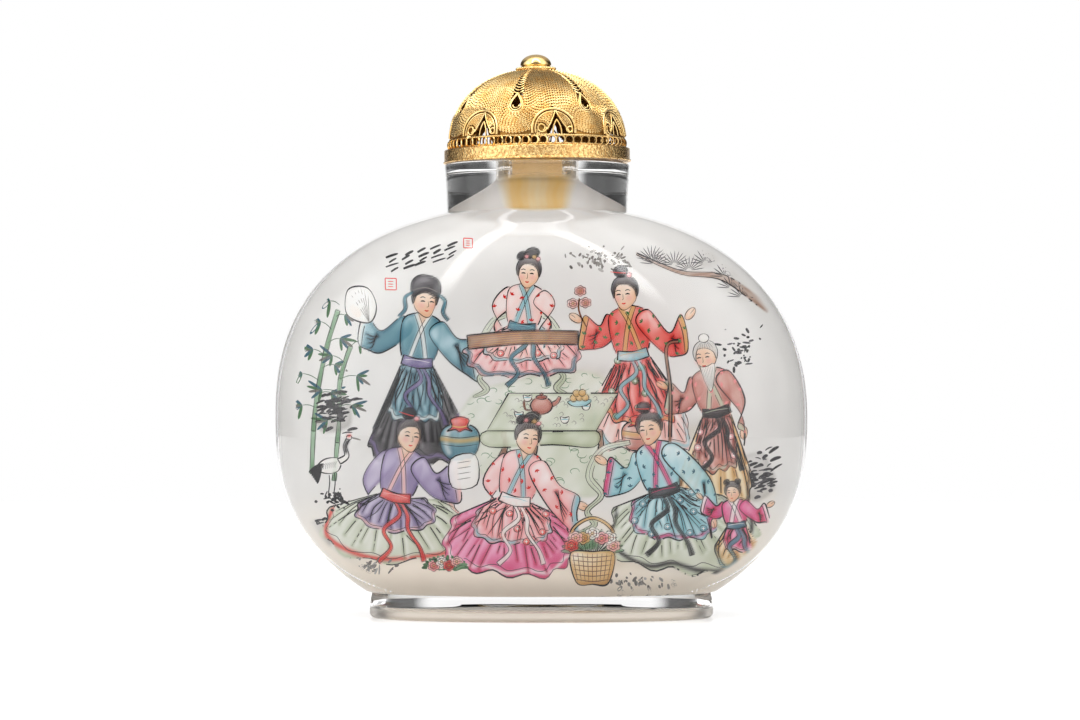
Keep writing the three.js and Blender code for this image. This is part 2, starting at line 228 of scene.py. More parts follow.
def turned(profile: np.ndarray, sides: int) -> tuple[np.ndarray, np.ndarray, np.ndarray]:
    """A profile turned round the Z axis: (r cos a, r sin a, z) for each point (r, z) and angle a.

    A first or last point on the axis becomes a pole.

    Args:
        profile: radius and height in each row, anticlockwise round the material.
        sides: number of steps round.

    Returns:
        Points, quads and pole triangles.
    """
    angle = np.arange(sides) * FULL_TURN / sides
    radius, height = profile[:, 0, None], profile[:, 1, None]
    points = np.stack([radius * np.cos(angle), radius * np.sin(angle), height + 0 * angle], -1)
    return close_poles(points)


def close_poles(points: np.ndarray) -> tuple[np.ndarray, np.ndarray, np.ndarray]:
    """Joins rings of points into a skin, with a first or last ring of no size made one point.

    Args:
        points: rings, each in one row, anticlockwise seen from above as they rise outside.

    Returns:
        Points in one list, quads and pole triangles.
    """
    rings, sides = points.shape[:2]
    start = int(np.ptp(points[0], axis=0).max() < 1e-6)
    end = int(np.ptp(points[-1], axis=0).max() < 1e-6)
    body = points[start : rings - end]
    flat = [body.reshape(-1, 3)]
    quads = grid_faces(len(body), sides, wrap=True)
    around = np.arange(sides)
    fans = []
    if start:
        flat.append(points[0, :1])
        fans.append(np.stack([np.full(sides, len(body) * sides), np.roll(around, -1), around], -1))
    if end:
        top = (len(body) - 1) * sides + around
        flat.append(points[-1, :1])
        fans.append(np.stack([np.full(sides, len(body) * sides + start), top, np.roll(top, -1)], -1))
    triangles = np.concatenate(fans) if fans else np.zeros((0, 3), int)
    return np.concatenate(flat), quads, triangles


# Finishes


def new_material(name: str) -> tuple[bpy.types.Material, bpy.types.ShaderNodeBsdfPrincipled]:
    """A material with one Principled shader, both given back."""
    material = bpy.data.materials.new(name)
    material.use_nodes = True
    return material, material.node_tree.nodes["Principled BSDF"]


def add_node(owner: bpy.types.Material | bpy.types.World, kind: str,
             feeds: dict[str | int, bpy.types.NodeSocket] | None = None, **values: object) -> bpy.types.Node:
    """Adds a node, sets its properties, or its sockets where a key names one, and links what feeds it.

    Args:
        owner: the material or world that gets the node.
        kind: the node's type name, without the word ShaderNode.
        feeds: the outputs that feed its sockets, by the socket's name or number.
        values: property or socket names, with _ for a space in a socket's name.

    Returns:
        The new node.
    """
    node = owner.node_tree.nodes.new("ShaderNode" + kind)
    for key, value in values.items():
        if hasattr(node, key):
            setattr(node, key, value)
        else:
            node.inputs[key.replace("_", " ")].default_value = value
    for socket, output in (feeds or {}).items():
        owner.node_tree.links.new(output, node.inputs[socket])
    return node


def tone_ramp(material: bpy.types.Material, level: bpy.types.NodeSocket, dark: Colour, light: Colour,
              span: tuple[float, float]) -> bpy.types.NodeSocket:
    """A colour that goes from dark to light as a level rises through a span."""
    ramp = add_node(material, "ValToRGB", {"Fac": level})
    for stop, position, colour in zip(ramp.color_ramp.elements, span, (dark, light)):
        stop.position = position
        stop.color = (*colour, 1)
    return ramp.outputs["Color"]


@dataclass(frozen=True)
class Glass:
    """Thick glass, polished clear or finely ground."""

    name: str
    tint: Colour = (1.0, 1.0, 1.0)
    roughness: float = 0.0
    ior: float = 1.5

    def material(self) -> bpy.types.Material:
        """Builds the material from plain values on the shader."""
        material, shader = new_material(self.name)
        shader.inputs["Base Color"].default_value = (*self.tint, 1)
        shader.inputs["Roughness"].default_value = self.roughness
        shader.inputs["IOR"].default_value = self.ior
        shader.inputs["Transmission Weight"].default_value = 1.0
        return material


@dataclass(frozen=True)
class Gilt:
    """Gilt metal with a mottled tone and a fine grain, and painted shade where a shade colour is given."""

    name: str
    light: Colour = (1.0, 0.76, 0.36)
    dark: Colour = (0.88, 0.56, 0.19)
    roughness: float = 0.25
    tone_scale: float = 260
    grain_scale: float = 3400
    grain_height: float = 0.0
    # colour of the painted shade under and between the wires, mixed in where the painted light falls
    hollow: Colour | None = None
    tone_span: tuple[float, float] = (0.36, 0.62)
    dullest: float = 0.12
    brightest: float = -0.08

    def material(self) -> bpy.types.Material:
        """Builds the material: noise picks the tone and the roughness, and a finer noise the grain."""
        material, shader = new_material(self.name)
        links = material.node_tree.links
        place = add_node(material, "TexCoord").outputs["Object"]
        tone = add_node(material, "TexNoise", {"Vector": place}, Scale=self.tone_scale, Detail=4.0,
                        Roughness=0.6)
        level = tone.outputs["Fac"]
        colour = tone_ramp(material, level, self.dark, self.light, self.tone_span)
        # mixes the painted shade colour in where the painted light attribute falls below 1
        if self.hollow:
            painted_light = add_node(material, "Attribute", attribute_name=PAINTED_LIGHT).outputs["Fac"]
            feeds = {"Factor": painted_light, "B": colour}
            mix = add_node(material, "Mix", feeds, data_type="RGBA", A=(*self.hollow, 1))
            colour = mix.outputs["Result"]
        links.new(colour, shader.inputs["Base Color"])
        rough = add_node(material, "MapRange", {"Value": level}, To_Min=self.roughness + self.dullest,
                         To_Max=self.roughness + self.brightest)
        links.new(rough.outputs["Result"], shader.inputs["Roughness"])
        shader.inputs["Metallic"].default_value = 1.0
        if self.grain_height:
            grain = add_node(material, "TexNoise", {"Vector": place}, Scale=self.grain_scale, Detail=3.0)
            bump = add_node(material, "Bump", {"Height": grain.outputs["Fac"]}, Strength=0.6,
                            Distance=self.grain_height * MM)
            links.new(bump.outputs["Normal"], shader.inputs["Normal"])
        return material


@dataclass(frozen=True)
class CorkBark:
    """Natural cork: warm tan with darker specks."""

    light: Colour = (1.0, 0.66, 0.3)
    dark: Colour = (0.6, 0.32, 0.11)
    tone_span: tuple[float, float] = (0.33, 0.5)
    relief: float = 0.1

    def material(self) -> bpy.types.Material:
        """Builds the material: fine noise picks the tone and the relief of the bark."""
        material, shader = new_material("cork_bark")
        links = material.node_tree.links
        place = add_node(material, "TexCoord").outputs["Object"]
        bark = add_node(material, "TexNoise", {"Vector": place}, Scale=700.0, Detail=5.0, Roughness=0.65)
        level = bark.outputs["Fac"]
        bump = add_node(material, "Bump", {"Height": level}, Strength=0.5, Distance=self.relief * MM)
        colour = tone_ramp(material, level, self.dark, self.light, self.tone_span)
        links.new(colour, shader.inputs["Base Color"])
        links.new(bump.outputs["Normal"], shader.inputs["Normal"])
        shader.inputs["Roughness"].default_value = 0.85
        return material


@dataclass(frozen=True)
class PaintLayer:
    """Thin matt paint whose colour is stored at each point of the piece. Bonded to glass, it has no gloss."""

    name: str
    attribute: str = "paint"

    def material(self) -> bpy.types.Material:
        """Builds the material from the piece's own colours."""
        material, shader = new_material(self.name)
        colour = add_node(material, "Attribute", attribute_name=self.attribute)
        material.node_tree.links.new(colour.outputs["Color"], shader.inputs["Base Color"])
        material.node_tree.links.new(colour.outputs["Alpha"], shader.inputs["Alpha"])
        shader.inputs["Roughness"].default_value = 0.7
        shader.inputs["Specular IOR Level"].default_value = 0.0
        return material


def inside_outline(points: np.ndarray, outline: np.ndarray) -> np.ndarray:
    """Whether each point lies inside a closed outline, by counting the sides that a ray from it crosses.

    Args:
        points: rows of two coordinates.
        outline: corners in order, in rows of two coordinates.

    Returns:
        True or False for each point.
    """
    start, end = outline, np.roll(outline, -1, 0)
    x, y = points[:, 0, None], points[:, 1, None]
    spans = (start[:, 1] > y) != (end[:, 1] > y)
    slope = (end[:, 0] - start[:, 0]) / np.where(end[:, 1] == start[:, 1], 1e-12, end[:, 1] - start[:, 1])
    return (spans & (x < start[:, 0] + (y - start[:, 1]) * slope)).sum(1) % 2 == 1


# The bottle


@dataclass(frozen=True)
class GlassBottle:
    """The clear glass bottle: recessed foot, flattened oval body, round neck, bore and hollow."""

    half_width: float = 38
    half_depth: float = 18
    half_height: float = 30.4
    centre_z: float = 28.4
    front_roundness: float = 2.3
    side_roundness: float = 3.6
    plan_roundness: float = 2.15
    foot_height: float = 3.9
    foot_half_width: float = 24.5
    foot_half_depth: float = 11.6
    foot_edge: float = 0.7
    foot_waist: float = 0.3
    foot_rim: float = 2.2
    foot_recess: float = 1.6
    ground_z: float = 1.5
    ground_tint: Colour = (1.0, 0.94, 0.87)
    ground_roughness: float = 0.3
    neck_foot_radius: float = 12.85
    neck_lip_radius: float = 13.2
    neck_shift: float = -0.6
    neck_blend: float = 0.8
    neck_waist: float = 0.1
    lip_z: float = 64.65
    lip_round: float = 0.3
    side_wall: float = 3.2
    front_wall: float = 3
    floor_z: float = 5.2
    floor_roundness: float = 3
    cavity_top: float = 27.8
    bore_radius: float = 3.9
    bore_end_z: float = 62.6
    funnel_start_z: float = 54
    funnel_width_power: float = 1.25
    sides: int = 192

    def body_half_depth(self, z: np.ndarray) -> np.ndarray:
        """Half-depth of the outside: a superellipse below, softly no less than the neck above."""
        rise = (z - self.centre_z) / self.half_height
        squarer = smooth_step(rise, -0.35, 0.35)
        roundness = self.front_roundness + (self.side_roundness - self.front_roundness) * squarer
        bare = self.half_depth * superellipse(rise, roundness)
        neck = self.neck_foot_radius - self.neck_waist
        return np.where(rise < 0, bare, soft_maximum(bare, neck, self.neck_blend * np.maximum(rise, 0)))

    def body_half_width(self, z: np.ndarray) -> np.ndarray:
        """Half-width of the outside, a superellipse."""
        return self.half_width * superellipse((z - self.centre_z) / self.half_height, self.front_roundness)

    def neck_start(self) -> float:
        """Height at which the body has narrowed to the neck."""
        share = superellipse(np.float64(self.neck_foot_radius / self.half_width), self.front_roundness)
        return float(self.centre_z + self.half_height * share)

    def body_start(self) -> float:
        """Height at which the body widens out of the foot."""
        share = superellipse(np.float64(self.foot_half_width / self.half_width), self.front_roundness)
        return float(self.centre_z - self.half_height * share)

    def sections(self, z: np.ndarray, half_width: np.ndarray, half_depth: np.ndarray,
                 rise: np.ndarray) -> np.ndarray:
        """Rows of height, half-width, half-depth, plan roundness and shift.

        Args:
            z: heights.
            half_width: half-widths there.
            half_depth: half-depths there.
            rise: 0 where the plan is the body's, 1 where it is the neck's circle.

        Returns:
            One section in each row.
        """
        rise = rise + 0 * z
        roundness = self.plan_roundness + (2 - self.plan_roundness) * rise
        return np.stack([z, half_width + 0 * z, half_depth + 0 * z, roundness, self.neck_shift * rise], -1)

    def outside(self) -> np.ndarray:
        """Sections from the middle of the recess, round the foot and up the body to the lip."""
        flat = np.zeros(1)
        inner_width, inner_depth = self.foot_half_width - self.foot_rim, self.foot_half_depth - self.foot_rim
        turn = np.linspace(0, math.pi / 2, 7)
        corner = self.foot_edge * (1 - np.sin(turn))
        recess_z = self.foot_recess - self.foot_edge * (1 - np.cos(turn))
        recess = self.sections(recess_z, inner_width - corner, inner_depth - corner, flat)
        pole = self.sections(flat + self.foot_recess, flat, flat, flat)
        bevel = np.array([0, 0.08, 0.3])
        ring = self.sections(bevel[::-1], inner_width + bevel, inner_depth + bevel, flat)
        foot_z = self.foot_edge * (1 - np.cos(turn))
        foot = self.sections(foot_z, self.foot_half_width - corner, self.foot_half_depth - corner, flat)
        wall_z = np.linspace(self.foot_edge * 1.5, self.foot_height - self.foot_waist, 8)
        waist = self.foot_waist * smooth_step(wall_z, self.foot_height / 2, self.foot_height)
        wall = self.sections(wall_z, self.foot_half_width - waist, self.foot_half_depth - waist, flat)
        low = (self.body_start() + self.foot_waist - self.centre_z) / self.half_height
        high = (self.neck_start() - self.centre_z) / self.half_height
        body_z = self.centre_z + self.half_height * np.sin(np.linspace(math.asin(low), math.asin(high), 120))
        rise = smooth_step(body_z, self.centre_z, self.neck_start())
        body = self.sections(body_z, self.body_half_width(body_z), self.body_half_depth(body_z), rise)
        up = np.linspace(0.04, 1, 24)
        neck_z = self.neck_start() + (self.lip_z - self.lip_round - self.neck_start()) * up
        neck_r = self.neck_foot_radius + (self.neck_lip_radius - self.neck_foot_radius) * up**1.5
        neck = self.sections(neck_z, neck_r, neck_r, flat + 1)
        lip_r = self.neck_lip_radius - self.lip_round * (1 - np.cos(turn[1:]))
        lip = self.sections(self.lip_z - self.lip_round * (1 - np.sin(turn[1:])), lip_r, lip_r, flat + 1)
        return np.concatenate([pole, recess, ring, foot, wall, body, neck, lip])

    def hollow(self) -> np.ndarray:
        """Sections from the lip down the bore, through the funnel and the hollow to its floor."""
        return np.concatenate([self.bore(), self.cavity()])

    def bore(self) -> np.ndarray:
        """Sections of the straight bore, from the lip down."""
        bore_z = np.linspace(self.lip_z, self.bore_end_z, 6)
        return self.sections(bore_z, self.bore_radius, self.bore_radius, np.ones(1))

    def cavity(self, rows: int = 150) -> np.ndarray:
        """Sections of the funnel and the hollow below the bore, down to the floor's middle."""
        start = np.float64(self.funnel_start_z)
        width = self.cavity_half_width(start) - self.bore_radius
        depth = self.body_half_depth(start) - self.front_wall - self.bore_radius
        drop = np.linspace(0, 1, rows // 5)[:-1]
        funnel = self.sections(
            self.bore_end_z + (self.funnel_start_z - self.bore_end_z) * drop,
            self.bore_radius + width * drop**self.funnel_width_power,
            self.bore_radius + depth * drop,
            1 - drop,
        )
        turn = np.linspace(math.asin((start - self.centre_z) / self.cavity_top), -math.pi / 2, rows)
        reach = np.where(turn < 0, self.centre_z - self.floor_z, self.cavity_top)
        z = self.centre_z + reach * np.sin(turn)
        low = superellipse((z - self.centre_z) / (self.centre_z - self.floor_z), self.floor_roundness)
        upper_depth = self.body_half_depth(z) - self.front_wall
        upper = smooth_step(z - self.centre_z, -0.3 * self.cavity_top, 0)
        half_depth = (self.half_depth - self.front_wall) * low * (1 - upper) + upper_depth * upper
        space = self.sections(z, self.cavity_half_width(z), half_depth, np.zeros(1))
        space[-1, 1:3] = 0
        return np.concatenate([funnel, space])

    def cavity_half_width(self, z: np.ndarray) -> np.ndarray:
        """Half-width of the hollow, one superellipse above its middle and a squarer one below."""
        offset = z - self.centre_z
        low = superellipse(offset / (self.centre_z - self.floor_z), self.floor_roundness)
        high = superellipse(offset / self.cavity_top, self.front_roundness)
        upper = smooth_step(offset, -0.3 * self.cavity_top, 0)
        return (self.half_width - self.side_wall) * (low * (1 - upper) + high * upper)

    def rings(self, sections: np.ndarray) -> np.ndarray:
        """Points round each section: (shift + w sgn(c)|c|^(2/n), d sgn(s)|s|^(2/n), z) at each angle.

        Args:
            sections: rows as the method sections gives them.

        Returns:
            One ring of points in each row.
        """
        angle = np.arange(self.sides) * FULL_TURN / self.sides
        z, width, depth, roundness, shift = (column[:, None] for column in sections.T)
        across = np.sign(np.cos(angle)) * np.abs(np.cos(angle)) ** (2 / roundness)
        deep = np.sign(np.sin(angle)) * np.abs(np.sin(angle)) ** (2 / roundness)
        return np.stack([shift + width * across, depth * deep, z + 0 * angle], -1)

    def build(self) -> bpy.types.Object:
        """Makes the bottle as one closed skin, outside and inside."""
        shape = Shape()
        shape.add(*close_poles(self.rings(np.concatenate([self.outside(), self.hollow()]))))
        made = shape.piece("bottle_glass", Glass("clear_glass").material(), sharp_deg=42)
        made.data.materials.append(Glass("ground_glass", self.ground_tint, self.ground_roughness).material())
        middle = np.empty((len(made.data.polygons), 3), np.float32)
        made.data.polygons.foreach_get("center", middle.ravel())
        made.data.polygons.foreach_set("material_index", (middle[:, 2] < self.ground_z * MM).astype(np.int32))
        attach(made, BODY)
        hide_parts("bottle")
        return made


# The painting


class Pigment(Enum):
    """The paints, as the eye sees them."""

    BLACK = (0.1, 0.09, 0.1)
    GREY = (0.56, 0.54, 0.52)
    MIST = (0.76, 0.74, 0.71)
    WHITE = (0.95, 0.94, 0.92)
    SKIN = (0.93, 0.74, 0.6)
    ROSE = (0.93, 0.62, 0.62)
    BLUSH = (0.95, 0.77, 0.74)
    RED = (0.87, 0.25, 0.22)
    MAGENTA = (0.84, 0.24, 0.45)
    TEAL = (0.25, 0.45, 0.52)
    SKY = (0.55, 0.76, 0.8)
    CELADON = (0.77, 0.8, 0.7)
    PURPLE = (0.49, 0.42, 0.6)
    BROWN = (0.5, 0.33, 0.25)
    CLAY = (0.7, 0.38, 0.33)
    OCHRE = (0.86, 0.69, 0.43)
    GREEN = (0.36, 0.53, 0.36)


Place = tuple[float, float]
Knots = np.ndarray | list[Place] | tuple[Place, ...]


def smooth_line(knots: Knots, closed: bool = False, steps: int = 7) -> np.ndarray:
    """A smooth curve through all the knots (Catmull-Rom).

    Args:
        knots: the points it runs through.
        closed: whether it returns to the first knot.
        steps: points between neighbouring knots.

    Returns:
        The curve's points.
    """
    points = np.asarray(knots, float)
    first, last = (points[-1:], points[:2]) if closed else (points[:1], points[-1:])
    padded = np.concatenate([first, points, last])
    before, start, end, after = padded[:-3], padded[1:-2], padded[2:-1], padded[3:]
    t = np.linspace(0, 1, steps, endpoint=False)[:, None, None]
    curve = start + t * (end - before) / 2 + t**2 * (before - 2.5 * start + 2 * end - after / 2)
    curve = (curve + t**3 * (1.5 * (start - end) + (after - before) / 2)).transpose(1, 0, 2).reshape(-1, 2)
    return curve if closed else np.concatenate([curve, points[-1:]])


def ribbon(knots: Knots, *half_widths: float) -> np.ndarray:
    """Outline of a band along a curve: the curve moved to both sides by its half-width.

    Args:
        knots: the points that the band runs through.
        half_widths: half-widths spread evenly from its start to its end.

    Returns:
        The outline's points.
    """
    line = smooth_line(knots)
    ahead = unit(np.gradient(line, axis=0))
    share = np.linspace(0, 1, len(line))
    reach = np.interp(share, np.linspace(0, 1, len(half_widths)), half_widths)[:, None]
    side = np.stack([-ahead[:, 1], ahead[:, 0]], -1) * reach
    return np.concatenate([line + side, (line - side)[::-1]])


def oval(middle: Place, half_width: float, half_height: float, tilt: float = 0,
         sides: int = 20) -> np.ndarray:
    """Outline of an ellipse, turned by an angle."""
    angle = np.arange(sides) * FULL_TURN / sides
    across, up = half_width * np.cos(angle), half_height * np.sin(angle)
    cos, sin = math.cos(tilt), math.sin(tilt)
    return np.stack([middle[0] + across * cos - up * sin, middle[1] + across * sin + up * cos], -1)


def line_distance(points: np.ndarray, line: np.ndarray, closed: bool) -> np.ndarray:
    """Distance of each point from the nearest part of a line."""
    start = line if closed else line[:-1]
    step = np.roll(line, -1, 0)[: len(start)] - start
    offset = points[:, None] - start
    share = np.clip((offset * step).sum(-1) / np.maximum((step * step).sum(-1), 1e-12), 0, 1)
    return np.linalg.norm(offset - share[..., None] * step, axis=-1).min(1)


class PaintedSheet:
    """Paint and ink on a flat sheet: X across and Z up, in millimetres."""

    def __init__(self, places: np.ndarray, ground: np.ndarray, seed: int) -> None:
        """Starts with the bare ground.

        Args:
            places: the points that hold the paint, one in each row.
            ground: their first colours.
            seed: of the hand's small differences.
        """
        self.places = places
        self.colours = ground.copy()
        self.random = np.random.default_rng(seed)
        self.waves = self.random.normal(0, 1.6, (2, 9))
        self.phases = self.random.uniform(0, FULL_TURN, 9)
        self.drawn = np.zeros((0, 8))
        self.fresh: list[np.ndarray] = []
        self.count = 0

    def near(self, line: np.ndarray, margin: float) -> np.ndarray:
        """Numbers of the points within a margin of a line's box."""
        low, high = line.min(0) - margin, line.max(0) + margin
        return np.flatnonzero(((self.places > low) & (self.places < high)).all(1))

    def blend(self, index: np.ndarray, cover: np.ndarray, pigment: Pigment,
              depth: np.ndarray | float) -> None:
        """Lays paint over points: the pigment to the power of its depth, mixed in by its cover."""
        paint = np.array(pigment.value) ** np.reshape(depth, (-1, 1))
        self.colours[index] += cover[:, None] * (paint - self.colours[index])

    def wash(self, outline: np.ndarray, pigment: Pigment, opacity: float = 0.88, edge: float = 0.12,
             pool: float = 0.5, shade: float = 0.7, depth: float = 1.0) -> None:
        """Fills an outline with watercolour that pools at its edge and deepens downwards and mottles.

        Args:
            outline: the closed outline.
            pigment: the paint.
            opacity: how much of the ground it hides.
            edge: softness of its edge.
            pool: how much deeper it is at the edge.
            shade: how much deeper it gets from the upper left to the lower right.
            depth: how deep it is in all.
        """
        index = self.near(outline, edge * 2)
        if not len(index):
            return
        places = self.places[index]
        side = np.where(inside_outline(places, outline), 1, -1)
        inward = line_distance(places, outline, closed=True) * side
        span = max(np.ptp(outline, axis=0).max(), 0.1)
        slope = (places - outline.mean(0)) @ np.array([0.5, -0.85]) / span
        mottle = np.sin(places @ self.waves + self.phases).mean(1)
        tone = depth * (0.6 + pool * np.exp(-((inward / 0.3) ** 2)) + shade * slope + 0.4 * mottle)
        self.blend(index, smooth_step(inward, -edge, edge) * opacity, pigment, np.maximum(tone, 0.2))

    def streak(self, knots: Knots, half_width: float, pigment: Pigment, opacity: float = 0.5,
               depth: float = 1.0, within: np.ndarray | None = None) -> None:
        """Lays a soft stroke of paint along a curve, only inside an outline where one is given."""
        line = smooth_line(knots, steps=4)
        index = self.near(line, half_width * 2)
        if within is not None:
            index = index[inside_outline(self.places[index], within)]
        if len(index):
            reach = line_distance(self.places[index], line, closed=False)
            self.blend(index, np.exp(-((reach / half_width) ** 2)) * opacity, pigment, depth)

    def ink(self, knots: Knots, half_width: float = 0.065, pigment: Pigment = Pigment.BLACK,
            ends: tuple[float, float] = (0.35, 0.1), depth: float = 1.0, steps: int = 5,
            within: np.ndarray | None = None) -> None:
        """Draws a tapered line: width = ends' width + the rest * sin(pi * share)^0.6.

        Args:
            knots: places that the line passes through.
            half_width: its half-width in the middle.
            pigment: its paint.
            ends: half-widths of its start and end, as shares of the middle's.
            depth: how deep the paint is.
            steps: points between two knots.
            within: outline that the line is kept in, where one is given.
        """
        line = smooth_line(knots, steps=steps)
        share = np.linspace(0, 1, len(line))
        ease = ends[0] + (ends[1] - ends[0]) * share
        width = half_width * (ease + (1 - ease) * np.sin(math.pi * share).clip(0) ** 0.6)
        seen = inside_outline(line, within) if within is not None else np.ones(len(line))
        self.draw(line, width, np.array(pigment.value) ** depth, seen)

    def contour(self, outline: np.ndarray, half_width: float = 0.07, pigment: Pigment = Pigment.BLACK,
                depth: float = 1.0) -> None:
        """Draws round an outline with a line that swells and thins."""
        line = np.concatenate([outline, outline[:1]])
        swell = np.sin(np.linspace(0, FULL_TURN * 2.5, len(line)) + self.random.uniform(0, FULL_TURN))
        self.draw(line, half_width * (1.0 + 0.4 * swell), np.array(pigment.value) ** depth)

    def draw(self, line: np.ndarray, width: np.ndarray, colour: np.ndarray,
             seen: np.ndarray | int = 1) -> None:
        """Keeps a line: place, half-width, colour, the line's number and whether each point is seen."""
        blank = np.zeros((len(line), 1))
        marks = [blank + self.count, blank[:, 0] + seen]
        self.fresh.append(np.column_stack([line, width, colour + blank, *marks]))
        self.count += 1

    def cover(self, outline: np.ndarray) -> None:
        """Hides the ink drawn so far inside an outline, as opaque paint over it does."""
        self.drawn = np.concatenate([self.drawn, *self.fresh])
        self.fresh = []
        near = (self.drawn[:, :2] > outline.min(0)) & (self.drawn[:, :2] < outline.max(0))
        index = np.flatnonzero(near.all(1))
        if len(index):
            self.drawn[index[inside_outline(self.drawn[index, :2], outline)], 7] = 0

    def strokes(self, on_wall: Callable[[np.ndarray], np.ndarray]) -> list[np.ndarray]:
        """The lines that are still seen, cut where paint covers them or the wall ends.

        Args:
            on_wall: tells for each place whether it lies on the wall.

        Returns:
            The lines, each with its places, half-widths and colours.
        """
        drawn = np.concatenate([self.drawn, *self.fresh])
        drawn[:, 7] *= on_wall(drawn[:, :2])
        cuts = np.flatnonzero(np.abs(np.diff(drawn[:, 6:], axis=0)).sum(1)) + 1
        return [run[:, :6] for run in np.split(drawn, cuts) if run[0, 7] and len(run) > 1]

    def area(self, outline: np.ndarray, pigment: Pigment, line: float = 0.07, **look: float) -> np.ndarray:
        """Washes an outline over the ink below it and draws round it, and gives it back."""
        self.wash(outline, pigment, **look)
        self.cover(outline)
        if line:
            self.contour(outline, line)
        return outline


# Figures


@dataclass(frozen=True)
class Dress:
    """The paints of a figure's clothes."""

    robe: Pigment
    lining: Pigment
    sash: Pigment
    skirt: Pigment
    dots: Pigment | None = None


class Hair(Enum):
    """How a figure wears its hair."""

    KNOT = "one knot with a pin"
    TWIN = "two small knots"
    LOOPS = "two high loops with flowers"
    CAP = "soft black cap"
    WHITE = "white hair and beard"


@dataclass(frozen=True)
class Arm:
    """An arm in a wide sleeve, by its joints from the middle of the waist."""

    elbow: Place
    hand: Place
    droop: float = 2.2


